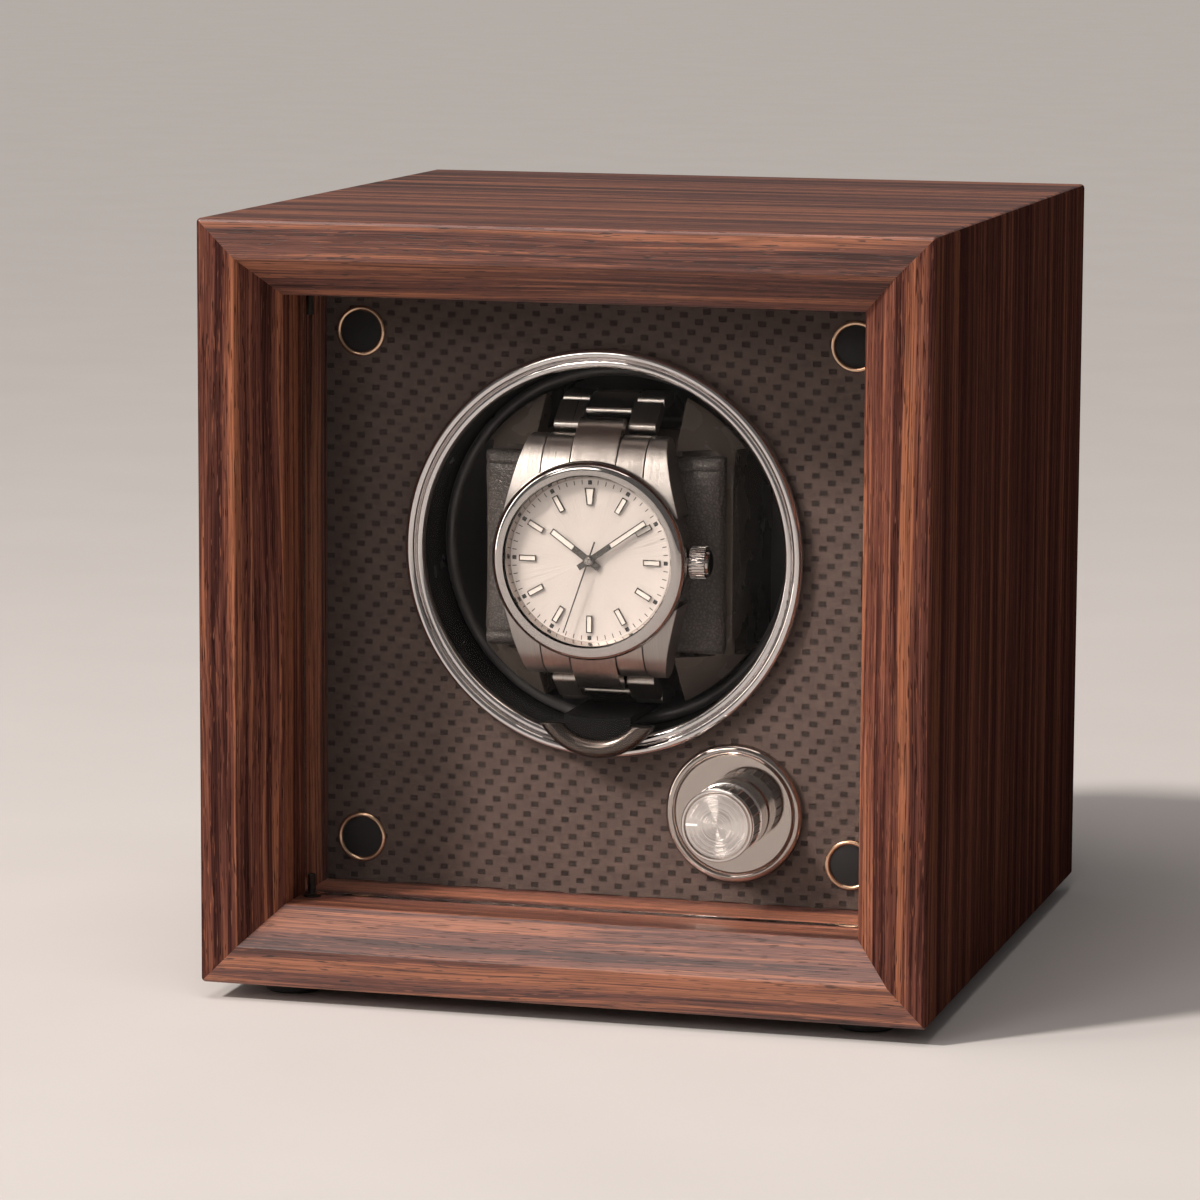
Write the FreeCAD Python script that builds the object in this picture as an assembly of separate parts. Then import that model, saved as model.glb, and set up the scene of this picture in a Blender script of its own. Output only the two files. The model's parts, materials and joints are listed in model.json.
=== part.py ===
"""Watch winder box: a mitred wooden case with a clear door, a woven fascia, a belt-driven drum that
carries a watch on its holder, a speed knob, and the drive and electrics behind the fascia.

Millimetres. +Z is up, the front faces -Y, and the origin is under the middle of the case, on the
surface that the feet stand on. A depth is measured back from the front face of the case.
"""
import FreeCAD
import Part
import math
import os

V = FreeCAD.Vector

# Case boards, tongues, feet and rear panel: the case closes round the drum, the knob and the drive
SIDE_ROOM = 14.0
HEAD_ROOM = 7.6
BACK_ROOM = 31.7
BOARD_T = 15.5
LAND = 7.8
BEVEL_D = 7.9
CASE_EASE = 0.9
BEVEL_EASE = 0.5
TONGUE_T = 3.0
TONGUE_COVER = 2.5
TONGUE_END = 12.0
FOOT_H = 3.5
FOOT_R = 6.0
FOOT_EASE = 0.8
FOOT_INSET = 15.0
PANEL_T = 5.0
PANEL_INSET = 2.0
PANEL_LAP = 7.5
PANEL_GAP = 0.3
PANEL_SCREW_X = 42.0
VENT_COUNT = 5
VENT_L = 44.0
VENT_W = 3.0
VENT_PITCH = 7.0
VENT_RISE = 104.0

# Fasteners
WOOD_SHANK_R = 1.5
WOOD_HEAD_R = 2.8
WOOD_HEAD_H = 1.8
WOOD_SCREW_L = 14.0
PAN_SHANK_R = 1.25
PAN_HEAD_R = 2.4
PAN_HEAD_H = 1.8
NUT_FLATS = 10.0
NUT_T = 2.0
THREAD_WALL = 0.45
THREAD_GAP = 0.1

# Door of clear sheet on two pivot pins
DOOR_DEPTH = 15.5
DOOR_T = 3.0
DOOR_SIDE_GAP = 1.2
DOOR_END_GAP = 0.7
DOOR_EASE = 0.3
DOOR_NOSE = 0.49
PIN_R = 0.8
PIN_IN_DOOR = 4.0
PIN_IN_BUSH = 5.0
PIN_RUN = 0.05
DOOR_BUSH_R = 1.8
DOOR_BUSH_L = 6.0
DOOR_BUSH_LIP = 0.4
CATCH_W = 1.9
CATCH_D = 7.0
CATCH_H = 18.0
CATCH_GAP = 0.3
STRIKE_T = 0.4
STRIKE_W = 1.0
STRIKE_H = 10.0

# Fascia of cloth on board
DISPLAY_D = 16.5
CLOTH_T = 0.6
FASCIA_T = 6.0
FASCIA_GAP = 0.25
CLEAT_GAP = 0.5
CLEAT_D = 15.0
CAP_IN_X = 7.7
CAP_IN_Z = 9.4
CAP_R = 4.1
CAP_T = 0.5
CAP_EDGE = 0.2
CAP_PLUG_R = 3.0
CAP_PLUG_L = 2.0
CAP_GAP = 0.1
TRIM_W = 1.0
TRIM_RISE = 0.7

# Drum, its housing and its bearings
BEZEL_W = 3.75
BEZEL_BEAD = 1.05
BEZEL_RISE = 2.8
BEZEL_STEP = 1.2
BEZEL_ROLL = 0.36
HOUSING_WALL = 2.0
COLLAR_WALL = 1.2
COLLAR_GAP = 0.2
FLANGE_W = 5.5
FLANGE_T = 3.0
REAR_WALL = 3.0
BOSS_R = 9.0
BOSS_L = 11.0
STUB_R = 3.5
STUB_L = 3.0
STUB_CIRCLE = 20.0
CUP_GAP = 0.6
CUP_WALL = 2.4
CUP_SET = 4.4
CUP_SPACE = 3.9
CUP_FLOOR_T = 3.0
HUB_R = 8.0
HUB_L = 4.3
SHAFT_R = 3.0
SHAFT_RUN = 0.04
BUSH_R = 5.0
BUSH_LIP_R = 6.5
BUSH_LIP_T = 1.2
BUSH_L = 6.0
RUN_GAP = 0.5

# Belt drive
PULLEY_R = 24.0
PULLEY_T = 6.0
PULLEY_STEP = 2.0
PULLEY_RIM = 0.6
GROOVE_GAP = 0.2
MOTOR_PULLEY_R = 4.8
BELT_R = 1.2
MOTOR_SPACE = 4.8
MOTOR_ANGLE = 239.0
MOTOR_SHAFT_R = 2.0
GEARBOX_R = 13.5
GEARBOX_L = 18.0
CAN_R = 12.0
CAN_L = 20.0
MOTOR_NOSE_R = 3.6
MOTOR_NOSE_L = 3.0
MOTOR_SCREW_X = 9.0
PLATE_T = 2.0
PLATE_EDGE = 6.0
PLATE_MOTOR_EDGE = 1.5
PLATE_GAP = 0.2

# Knob, rosette and selector switch
KNOB_ANGLE = -62.0
KNOB_SPACE = 2.95
KNOB_FOOT = 4.5
KNOB_DOOR_GAP = 1.5
KNOB_WALL = 1.3
KNOB_LIP = 0.6
KNOB_REAR_GAP = 0.5
KNOB_FLUTES = 24
FLUTE_W = 0.4
FLUTE_DEEP = 0.3
FLUTE_START = 2.0
FLUTE_END = 3.2
KNOB_NUT_GAP = 0.33
KNOB_CAVITY_GAP = 0.4
KNOB_CAP_T = 0.8
POINTER_L = 2.4
POINTER_W = 0.5
POINTER_DEEP = 0.2
ROSETTE_R = 14.3
ROSETTE_T = 1.2
ROSETTE_RIM = 1.1
ROSETTE_RIM_RISE = 0.6
SWITCH_W = 16.0
SWITCH_L = 11.0
SWITCH_SHAFT_R = 3.0
SWITCH_RUN = 0.05

# Control board, power inlet and leads
BOARD_W = 64.0
BOARD_H = 44.0
BOARD_THICK = 1.6
BOARD_RISE = 36.0
BOARD_HOLE_INSET = 4.0
PILLAR_R = 2.6
PILLAR_L = 6.0
PLUG_W = 9.0
PLUG_H = 6.0
PLUG_L = 7.0
PLUG_GAP = 1.1
CHIP_W = 9.0
CHIP_H = 6.0
CHIP_T = 1.6
CAN_CAP_R = 3.2
CAN_CAP_L = 8.0
INLET_X = 45.0
INLET_RISE = 38.0
INLET_L = 13.0
INLET_LIP_R = 5.5
INLET_LIP_T = 1.2
INLET_SOCKET_R = 2.75
INLET_SOCKET_L = 9.5
INLET_PIN_R = 1.0
LEAD_R = 1.1
LEAD_FLOOR_GAP = 3.0
LEAD_BEND = 0.45

# Holder in the drum cup
HOLDER_GAP = 0.4
CHANNEL_X = 14.8
PAD_X = 25.7
PAD_TOP = 21.0
PAD_FOOT = 20.4
PAD_T = 6.6
PAD_ROUND = 4.0
PAD_CROWN = 2.6
PAD_PULL = 0.4
PAD_STEPS = 5
PAD_GAP = 0.3
SHOULDER_STEP = 0.9
SHOULDER_RIM = 9.6
SHOULDER_SLOPE = 10.0
CORE_GAP = 4.6
CORE_L = 18.0
CORE_ROUND = 8.0
LIP_R = 13.8
LIP_SHORT = 0.45
LIP_H = 6.9
LIP_T = 3.8
LIP_EASE = 1.5
LIP_GAP = 0.8
TONGUE_X = 7.0
TONGUE_THICK = 1.5
TONGUE_GAP = 0.1
TONGUE_CLEAR = 0.76
TONGUE_L = 32.0

# Watch on the holder
WATCH_SPACE = 2.4
CRYSTAL_T = 1.2
BEZEL_OVER = 0.4
BEZEL_FACE_W = 2.7
BEZEL_SEAT = 0.05
BEZEL_H = 2.9
BEZEL_LAND = 0.6
DIAL_GAP = 0.3
DIAL_T = 0.5
DIAL_DROP = 3.1
MARKER_IN = 2.5
MARKER_L = 3.5
MARKER_W = 1.1
MARKER_T = 0.35
HAND_T = 0.18
HAND_BORE = 0.45
HAND_RUN = 0.05
HOUR_SHORT = 7.6
HOUR_W = 1.4
HOUR_DROP = 2.45
MINUTE_SHORT = 3.2
MINUTE_W = 1.2
MINUTE_DROP = 2.0
SECONDS_SHORT = 1.6
SECONDS_W = 0.4
SECONDS_DROP = 1.6
HAND_TAIL = 3.0
HAND_HUB_R = 1.1
SECONDS_HUB_R = 0.77
HOUR_ANGLE = -54.0
MINUTE_ANGLE = 55.0
SECONDS_ANGLE = 199.0
CASE_R = 19.8
CASE_BORE_GAP = 0.2
CASE_DROP = 2.7
CASE_BODY = 8.0
LUG_Z = 24.6
LUG_X = 14.9
LUG_ROOT_X = 17.8
LUG_ROOT_Z = 9.0
LUG_HANG = 3.2
LUG_THICK = 2.4
LUG_FALL = 1.76
LUG_NIB = 1.44
LUG_SHOULDER_Z = 14.0
BACK_R = 17.8
BACK_T = 0.8
CROWN_R = 3.3
CROWN_L = 4.0
CROWN_GAP = 0.5
CROWN_DROP = 6.6
STEM_R = 0.8
STEM_L = 3.0
BRACELET_W = 21.4
CENTRE_W = 9.6
LINK_GAP = 0.15
LINK_T = 2.8
LINK_PITCH = 7.8
LINK_ROUND = 1.2
LINK_NOSE = 0.45
LOOP_RISE = 5.9
LOOP_D = 19.5
CLASP_LINKS = 4
CLASP_T = 1.2
CLASP_GAP = 0.5
LOOP_STEPS = 2000

# Places that follow from the sizes above: depths first, then the drum, the knob and the case
DOOR_BACK = DOOR_DEPTH + DOOR_T
PIVOT_DEPTH = DOOR_DEPTH + DOOR_T / 2
FASCIA_DEPTH = DOOR_BACK + DISPLAY_D
BOARD_FRONT = FASCIA_DEPTH + CLOTH_T
FASCIA_BACK = BOARD_FRONT + FASCIA_T
CRYSTAL_DEPTH = DOOR_BACK + WATCH_SPACE
DIAL_FACE = CRYSTAL_DEPTH + DIAL_DROP
CASE_FRONT = CRYSTAL_DEPTH + CASE_DROP
CASE_REAR = CASE_FRONT + CASE_BODY
LUG_TIP = CASE_REAR + LUG_HANG
BACK_FACE = CASE_REAR + BACK_T
CROWN_DEPTH = CRYSTAL_DEPTH + CROWN_DROP
BEZEL_OUT_R = CASE_R + BEZEL_OVER
CRYSTAL_R = BEZEL_OUT_R - BEZEL_FACE_W
DIAL_R = CRYSTAL_R - DIAL_GAP
MARKER_OUT = DIAL_R - MARKER_IN
HOUR_L = DIAL_R - HOUR_SHORT
MINUTE_L = DIAL_R - MINUTE_SHORT
SECONDS_L = DIAL_R - SECONDS_SHORT
CROWN_X = CASE_R + CROWN_GAP
LOOP_Z = LUG_Z + LOOP_RISE
LOOP_DEPTH = LUG_TIP + LINK_GAP + LOOP_D * math.sqrt(1 - (LUG_Z / LOOP_Z) ** 2)
PAD_FRONT = BACK_FACE + PAD_GAP
PAD_BACK = PAD_FRONT + PAD_T
SHOULDER_FRONT = PAD_FRONT + SHOULDER_STEP
CORE_Z = LOOP_Z - LINK_T / 2 - CORE_GAP
CUP_RIM = FASCIA_BACK + CUP_SET
CUP_FLOOR = LOOP_DEPTH + LOOP_D + LINK_T / 2 + CLASP_GAP + CLASP_T + CUP_SPACE
HUB_END = CUP_FLOOR + CUP_FLOOR_T + HUB_L
WALL_FRONT = HUB_END + RUN_GAP + BUSH_LIP_T
WALL_BACK = WALL_FRONT + REAR_WALL
PLATE_BACK = WALL_BACK + PLATE_T
BOSS_END = WALL_BACK + BOSS_L
PULLEY_HUB = BOSS_END + BUSH_LIP_T + RUN_GAP
BELT_DEPTH = PULLEY_HUB + PULLEY_STEP + PULLEY_T / 2
PULLEY_END = BELT_DEPTH + PULLEY_T / 2
BOARD_FACE = PULLEY_END + BACK_ROOM + CAN_CAP_L
PILLAR_FACE = BOARD_FACE + BOARD_THICK
PANEL_FACE = PILLAR_FACE + PILLAR_L
CASE_D = PANEL_FACE + PANEL_T + PANEL_INSET
FRONT = -CASE_D / 2
ROSETTE_FACE = FASCIA_DEPTH - ROSETTE_T
NUT_FACE = ROSETTE_FACE - NUT_T
KNOB_REAR = ROSETTE_FACE - KNOB_REAR_GAP
KNOB_TIP = DOOR_BACK + KNOB_DOOR_GAP
THREAD_R = SWITCH_SHAFT_R + SWITCH_RUN + THREAD_WALL
KNOB_CAVITY_R = NUT_FLATS / math.sqrt(3) + KNOB_NUT_GAP
KNOB_R = KNOB_CAVITY_R + KNOB_WALL
TONGUE_R = math.hypot(TONGUE_X, LOOP_Z + LINK_T / 2 + TONGUE_CLEAR)
CUP_IN_R = TONGUE_R + TONGUE_THICK + TONGUE_GAP
HOLDER_R = CUP_IN_R - HOLDER_GAP
CUP_R = CUP_IN_R + CUP_WALL
HOUSING_R = CUP_R + CUP_GAP
HOUSING_OUT_R = HOUSING_R + HOUSING_WALL
FLANGE_R = HOUSING_OUT_R + FLANGE_W
BEZEL_R = HOUSING_R + BEZEL_W
KNOB_REACH = BEZEL_R + ROSETTE_R + KNOB_SPACE
KNOB_X = KNOB_REACH * math.cos(math.radians(KNOB_ANGLE))
KNOB_DROP = -KNOB_REACH * math.sin(math.radians(KNOB_ANGLE))
BASE = FOOT_H
IN_X = FLANGE_R + SIDE_ROOM
IN_Z0 = BASE + BOARD_T
KNOB_Z = IN_Z0 + KNOB_FOOT + ROSETTE_R
AXIS_Z = KNOB_Z + KNOB_DROP
IN_Z1 = AXIS_Z + FLANGE_R + HEAD_ROOM
TOP = IN_Z1 + BOARD_T
MID_Z = (BASE + TOP) / 2
CASE_W = 2 * (IN_X + BOARD_T)
CASE_H = TOP - BASE
CLEAT_W = IN_X - FLANGE_R - CLEAT_GAP
MOTOR_REACH = HOUSING_OUT_R + GEARBOX_R + MOTOR_SPACE
MOTOR_X = MOTOR_REACH * math.cos(math.radians(MOTOR_ANGLE))
MOTOR_Z = AXIS_Z + MOTOR_REACH * math.sin(math.radians(MOTOR_ANGLE))
PIVOT_X = -IN_X + DOOR_SIDE_GAP + DOOR_T / 2
DOOR_Z0 = IN_Z0 + DOOR_END_GAP
DOOR_Z1 = IN_Z1 - DOOR_END_GAP
BOARD_Z = BASE + BOARD_RISE
PLUG_X = BOARD_W / 2 - BOARD_HOLE_INSET - PAN_HEAD_R - PLUG_GAP - PLUG_W / 2
INLET_Z = BASE + INLET_RISE
CAP_PLACES = [(x, z) for x in (-IN_X + CAP_IN_X, IN_X - CAP_IN_X)
              for z in (IN_Z0 + CAP_IN_Z, IN_Z1 - CAP_IN_Z)]


# Small tools for shapes

def at(x, depth, z):
    """Point at a depth behind the front face."""
    return V(x, FRONT + depth, z)


def rod(radius, start, end, x=0.0, z=AXIS_Z):
    """Cylinder along the depth."""
    return Part.makeCylinder(radius, end - start, at(x, start, z), V(0, 1, 0))


def pipe(outer, inner, start, end, x=0.0, z=AXIS_Z):
    return rod(outer, start, end, x, z).cut(rod(inner, start, end, x, z))


def upright(radius, z0, z1, x, depth):
    """Cylinder along Z."""
    return Part.makeCylinder(radius, z1 - z0, at(x, depth, z0), V(0, 0, 1))


def block(x0, x1, start, end, z0, z1):
    return Part.makeBox(x1 - x0, end - start, z1 - z0, at(x0, start, z0))


def face_of(points):
    return Part.Face(Part.makePolygon(points + points[:1]))


def turned(outline, x=0.0, z=AXIS_Z):
    """Solid of revolution about a depth axis, from edges drawn in (radius, depth)."""
    face = Part.Face(Part.Wire(outline))
    return face.revolve(at(x, 0, z), V(0, 1, 0), 360)


class Outline:
    """Edges of a turned profile, drawn point by point in (radius, depth)."""

    def __init__(self, radius, depth, x=0.0, z=AXIS_Z):
        self.x = x
        self.z = z
        self.first = self.spot(radius, depth)
        self.last = self.first
        self.edges = []

    def spot(self, radius, depth):
        return at(self.x + radius, depth, self.z)

    def line(self, radius, depth):
        point = self.spot(radius, depth)
        self.edges.append(Part.LineSegment(self.last, point).toShape())
        self.last = point
        return self

    def arc(self, via, to):
        point = self.spot(*to)
        self.edges.append(Part.Arc(self.last, self.spot(*via), point).toShape())
        self.last = point
        return self

    def turn(self):
        self.edges.append(Part.LineSegment(self.last, self.first).toShape())
        return turned(self.edges, self.x, self.z)


def prism_x(points, x0, x1):
    """Prism along X from points in (depth, z)."""
    return face_of([at(x0, d, z) for d, z in points]).extrude(V(x1 - x0, 0, 0))


def prism_y(points, start, end):
    """Prism along the depth from points in (x, z)."""
    return face_of([at(x, start, z) for x, z in points]).extrude(V(0, end - start, 0))


def about_axis(shape, degrees, x=0.0, z=AXIS_Z):
    """Copy turned clockwise, as seen from the front, about a depth axis."""
    copy = shape.copy()
    copy.rotate(at(x, 0, z), V(0, 1, 0), degrees)
    return copy


def round_place(radius, degrees, x=0.0, z=AXIS_Z):
    turn = math.radians(degrees)
    return x + radius * math.cos(turn), z + radius * math.sin(turn)


def edges_where(shape, test):
    return [edge for edge in shape.Edges if test(edge)]


def joined(shapes):
    whole = shapes[0]
    for shape in shapes[1:]:
        whole = whole.fuse(shape)
    return whole.removeSplitter()


def cut_all(shape, tools):
    return shape.cut(Part.makeCompound(tools))


def pan_screw(x, z, seat, tip):
    """Pan-head screw whose head rests on the seat and whose shank runs to the tip."""
    shank = rod(PAN_SHANK_R, min(seat, tip), max(seat, tip), x, z)
    if tip < seat:
        head = rod(PAN_HEAD_R, seat, seat + PAN_HEAD_H, x, z)
    else:
        head = rod(PAN_HEAD_R, seat - PAN_HEAD_H, seat, x, z)
    return joined([shank, head])


def save(name, *shapes):
    shape = shapes[0] if len(shapes) == 1 else Part.makeCompound(list(shapes))
    shape.exportStep("parts/" + name + ".step")


def mirror_x(shape):
    return shape.mirror(V(0, 0, 0), V(1, 0, 0))


def open_belt(x1, z1, r1, x2, z2, r2, depth):
    """Closed wire round two circles: two straight runs and two arcs."""
    run = math.hypot(x2 - x1, z2 - z1)
    aim = math.atan2(z2 - z1, x2 - x1)
    spread = math.acos((r1 - r2) / run)

    def spot(x, z, r, angle):
        return at(x + r * math.cos(angle), depth, z + r * math.sin(angle))

    far1 = spot(x1, z1, r1, aim + math.pi)
    far2 = spot(x2, z2, r2, aim)
    up1 = spot(x1, z1, r1, aim + spread)
    up2 = spot(x2, z2, r2, aim + spread)
    low1 = spot(x1, z1, r1, aim - spread)
    low2 = spot(x2, z2, r2, aim - spread)
    return Part.Wire([Part.LineSegment(up1, up2).toShape(), Part.Arc(up2, far2, low2).toShape(),
                      Part.LineSegment(low2, low1).toShape(), Part.Arc(low1, far1, up1).toShape()])


def lead(points):
    """Round lead along straight runs joined by arcs as large as the runs allow."""
    edges = []
    bends = []
    start = points[0]
    for before, corner, after in zip(points, points[1:], points[2:]):
        back = before - corner
        ahead = after - corner
        half_turn = (math.pi - back.getAngle(ahead)) / 2
        reach = LEAD_BEND * min(back.Length, ahead.Length)
        radius = reach / math.tan(half_turn)
        bends.append(round(radius, 1))
        back.normalize()
        ahead.normalize()
        enter = corner + back * reach
        leave = corner + ahead * reach
        inward = back + ahead
        inward.normalize()
        middle = corner + inward * (radius / math.cos(half_turn) - radius)
        edges.append(Part.LineSegment(start, enter).toShape())
        edges.append(Part.Arc(enter, middle, leave).toShape())
        start = leave
    edges.append(Part.LineSegment(start, points[-1]).toShape())
    path = Part.Wire(edges)
    section = Part.Wire(Part.makeCircle(LEAD_R, points[0], points[1] - points[0]))
    print("lead length", round(path.Length, 1), "bend radii", bends)
    return path.makePipeShell([section], True, False)


# Case

def rounded_carcass():
    whole = block(-CASE_W / 2, CASE_W / 2, 0, CASE_D, BASE, TOP)
    return whole.makeFillet(CASE_EASE, whole.Edges)


def case_board(length, reach, degrees, carcass):
    """Board with its outer face at reach from the middle of the case, turned to its side."""
    shoulder = CASE_D - PANEL_T - PANEL_INSET
    inner = MID_Z + reach - BOARD_T
    outer = MID_Z + reach
    section = [(0, outer), (0, outer - LAND), (BEVEL_D, inner), (shoulder, inner),
               (shoulder, inner + PANEL_LAP), (CASE_D, inner + PANEL_LAP), (CASE_D, outer)]
    board = prism_x(section, -length / 2, length / 2)

    def bevel_edge(edge):
        low, high = edge.Vertexes[0].Point, edge.Vertexes[-1].Point
        on_land = abs(low.y - FRONT) < 1e-6 and abs(low.z - outer + LAND) < 1e-6
        on_wall = abs(low.y - FRONT - BEVEL_D) < 1e-6 and abs(low.z - inner) < 1e-6
        return abs(high.x - low.x) > length / 2 and (on_land or on_wall)

    board = board.makeFillet(BEVEL_EASE, edges_where(board, bevel_edge))
    mitre = prism_y([(-length / 2, outer), (length / 2, outer),
                     (length / 2 - BOARD_T, inner), (-length / 2 + BOARD_T, inner)], 0, CASE_D)
    board = board.common(mitre)
    board.rotate(V(0, 0, MID_Z), V(0, 1, 0), degrees)
    return board.common(carcass)


def corner_tongues():
    """Loose tongues across the four mitres."""
    half = (BOARD_T / 2 - TONGUE_COVER) * math.sqrt(2) - TONGUE_T / 2
    tongues = []
    for side_x in (-1, 1):
        for side_z in (-1, 1):
            x = side_x * (CASE_W / 2 - BOARD_T / 2)
            z = MID_Z + side_z * (CASE_H / 2 - BOARD_T / 2)
            strip = block(x - half, x + half, TONGUE_END, CASE_D - TONGUE_END,
                          z - TONGUE_T / 2, z + TONGUE_T / 2)
            strip.rotate(V(x, 0, z), V(0, 1, 0), 45 * side_x * side_z)
            tongues.append(strip)
    return tongues


def panel_screws():
    screws = []
    face = PANEL_FACE + PANEL_T
    for x in (-PANEL_SCREW_X, PANEL_SCREW_X):
        for z in (IN_Z0 - PANEL_LAP / 2, IN_Z1 + PANEL_LAP / 2):
            head = Part.makeCone(WOOD_SHANK_R, WOOD_HEAD_R, WOOD_HEAD_H,
                                 at(x, face - WOOD_HEAD_H, z), V(0, 1, 0))
            shank = rod(WOOD_SHANK_R, face - WOOD_SCREW_L, face - WOOD_HEAD_H, x, z)
            screws.append(joined([head, shank]))
    return screws


def power_inlet():
    """Round inlet socket with a centre pin, held in the rear panel by its nut."""
    face = PANEL_FACE + PANEL_T
    barrel = rod(THREAD_R, face - INLET_L, face, INLET_X, INLET_Z)
    lip = rod(INLET_LIP_R, face, face + INLET_LIP_T, INLET_X, INLET_Z)
    mouth = face + INLET_LIP_T
    socket = rod(INLET_SOCKET_R, mouth - INLET_SOCKET_L, mouth, INLET_X, INLET_Z)
    pin = rod(INLET_PIN_R, mouth - INLET_SOCKET_L, mouth - INLET_LIP_T, INLET_X, INLET_Z)
    return joined([joined([barrel, lip]).cut(socket), pin])


def hex_nut(start, x, z):
    reach = NUT_FLATS / math.sqrt(3)
    points = [round_place(reach, 60 * n, x, z) for n in range(6)]
    return prism_y(points, start, start + NUT_T).cut(rod(THREAD_R, start, start + NUT_T, x, z))


def rear_panel():
    reach_x = IN_X + PANEL_LAP - PANEL_GAP
    panel = block(-reach_x, reach_x, PANEL_FACE, PANEL_FACE + PANEL_T,
                  IN_Z0 - PANEL_LAP + PANEL_GAP, IN_Z1 + PANEL_LAP - PANEL_GAP)
    ends = PANEL_FACE + PANEL_T
    cuts = [rod(THREAD_R + THREAD_GAP, PANEL_FACE, ends, INLET_X, INLET_Z)]
    for n in range(VENT_COUNT):
        z = BASE + VENT_RISE + (n - (VENT_COUNT - 1) / 2) * VENT_PITCH
        half = VENT_L / 2 - VENT_W / 2
        cuts.append(joined([block(-half, half, PANEL_FACE, ends, z - VENT_W / 2, z + VENT_W / 2),
                            rod(VENT_W / 2, PANEL_FACE, ends, -half, z),
                            rod(VENT_W / 2, PANEL_FACE, ends, half, z)]))
    for x in (-BOARD_W / 2 + BOARD_HOLE_INSET, BOARD_W / 2 - BOARD_HOLE_INSET):
        for z in (BOARD_Z + BOARD_HOLE_INSET, BOARD_Z + BOARD_H - BOARD_HOLE_INSET):
            cuts.append(rod(PAN_SHANK_R, PANEL_FACE, PANEL_FACE + PANEL_T / 2, x, z))
    return cut_all(panel, cuts + panel_screws())


def build_case():
    carcass = rounded_carcass()
    tongues = corner_tongues()
    screws = panel_screws()
    bushes = [upright(DOOR_BUSH_R, IN_Z0 - DOOR_BUSH_L, IN_Z0, PIVOT_X, PIVOT_DEPTH),
              upright(DOOR_BUSH_R, IN_Z1, IN_Z1 + DOOR_BUSH_L, PIVOT_X, PIVOT_DEPTH)]
    cuts = tongues + screws + bushes
    sides = (("case_top", CASE_W, CASE_H / 2, 0), ("case_right", CASE_H, CASE_W / 2, 90),
             ("case_bottom", CASE_W, CASE_H / 2, 180), ("case_left", CASE_H, CASE_W / 2, 270))
    for name, length, reach, degrees in sides:
        save(name, cut_all(case_board(length, reach, degrees, carcass), cuts))
    save("corner_tongues", *tongues)
    save("rear_panel", rear_panel())
    save("rear_screws", *screws)
    feet = []
    for x in (-CASE_W / 2 + FOOT_INSET, CASE_W / 2 - FOOT_INSET):
        for depth in (FOOT_INSET, CASE_D - FOOT_INSET):
            foot = upright(FOOT_R, 0, FOOT_H, x, depth)
            rim = edges_where(foot, lambda edge: abs(edge.CenterOfMass.z) < 1e-6)
            feet.append(foot.makeFillet(FOOT_EASE, rim))
    save("feet", *feet)


# Door

def build_door():
    pane = block(-IN_X + DOOR_SIDE_GAP, IN_X - DOOR_SIDE_GAP, DOOR_DEPTH, DOOR_BACK, DOOR_Z0, DOOR_Z1)
    hinge_x = -IN_X + DOOR_SIDE_GAP
    free_x = IN_X - DOOR_SIDE_GAP

    def upright_at(edge, x):
        ends = [vertex.Point for vertex in edge.Vertexes]
        return all(abs(point.x - x) < 1e-6 for point in ends) and abs(ends[0].z - ends[-1].z) > DOOR_T

    nose = edges_where(pane, lambda edge: upright_at(edge, hinge_x))
    pane = pane.makeFillet(DOOR_T * DOOR_NOSE, nose)
    free = edges_where(pane, lambda edge: upright_at(edge, free_x))
    pane = pane.makeChamfer(DOOR_EASE, free)
    pins = [upright(PIN_R, IN_Z0 - PIN_IN_BUSH, DOOR_Z0 + PIN_IN_DOOR, PIVOT_X, PIVOT_DEPTH),
            upright(PIN_R, DOOR_Z1 - PIN_IN_DOOR, IN_Z1 + PIN_IN_BUSH, PIVOT_X, PIVOT_DEPTH)]
    save("door_pane", cut_all(pane, pins))
    save("door_pins", *pins)

    bore = PIN_R + PIN_RUN
    low = upright(DOOR_BUSH_R, IN_Z0 - DOOR_BUSH_L, IN_Z0 + DOOR_BUSH_LIP, PIVOT_X, PIVOT_DEPTH)
    low_hole = upright(bore, IN_Z0 - PIN_IN_BUSH - PIN_RUN, IN_Z0 + DOOR_BUSH_LIP, PIVOT_X, PIVOT_DEPTH)
    high = upright(DOOR_BUSH_R, IN_Z1 - DOOR_BUSH_LIP, IN_Z1 + DOOR_BUSH_L, PIVOT_X, PIVOT_DEPTH)
    high_hole = upright(bore, IN_Z1 - DOOR_BUSH_LIP, IN_Z1 + PIN_IN_BUSH + PIN_RUN, PIVOT_X, PIVOT_DEPTH)
    save("door_bushes", low.cut(low_hole), high.cut(high_hole))

    strike_x = free_x - DOOR_EASE
    save("door_strike", block(strike_x - STRIKE_W, strike_x, DOOR_BACK, DOOR_BACK + STRIKE_T,
                              AXIS_Z - STRIKE_H / 2, AXIS_Z + STRIKE_H / 2))
    start = DOOR_BACK + STRIKE_T + CATCH_GAP
    save("door_catch", block(IN_X - CATCH_W, IN_X, start, start + CATCH_D,
                             AXIS_Z - CATCH_H / 2, AXIS_Z + CATCH_H / 2))


# Fascia

def cap_screw(x, z):
    """Screw under a cap, through the board into the cleat."""
    seat = BOARD_FRONT + CAP_PLUG_L + WOOD_HEAD_H
    head = rod(WOOD_HEAD_R, seat - WOOD_HEAD_H, seat, x, z)
    return joined([head, rod(WOOD_SHANK_R, seat, seat + WOOD_SCREW_L, x, z)])


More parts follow.
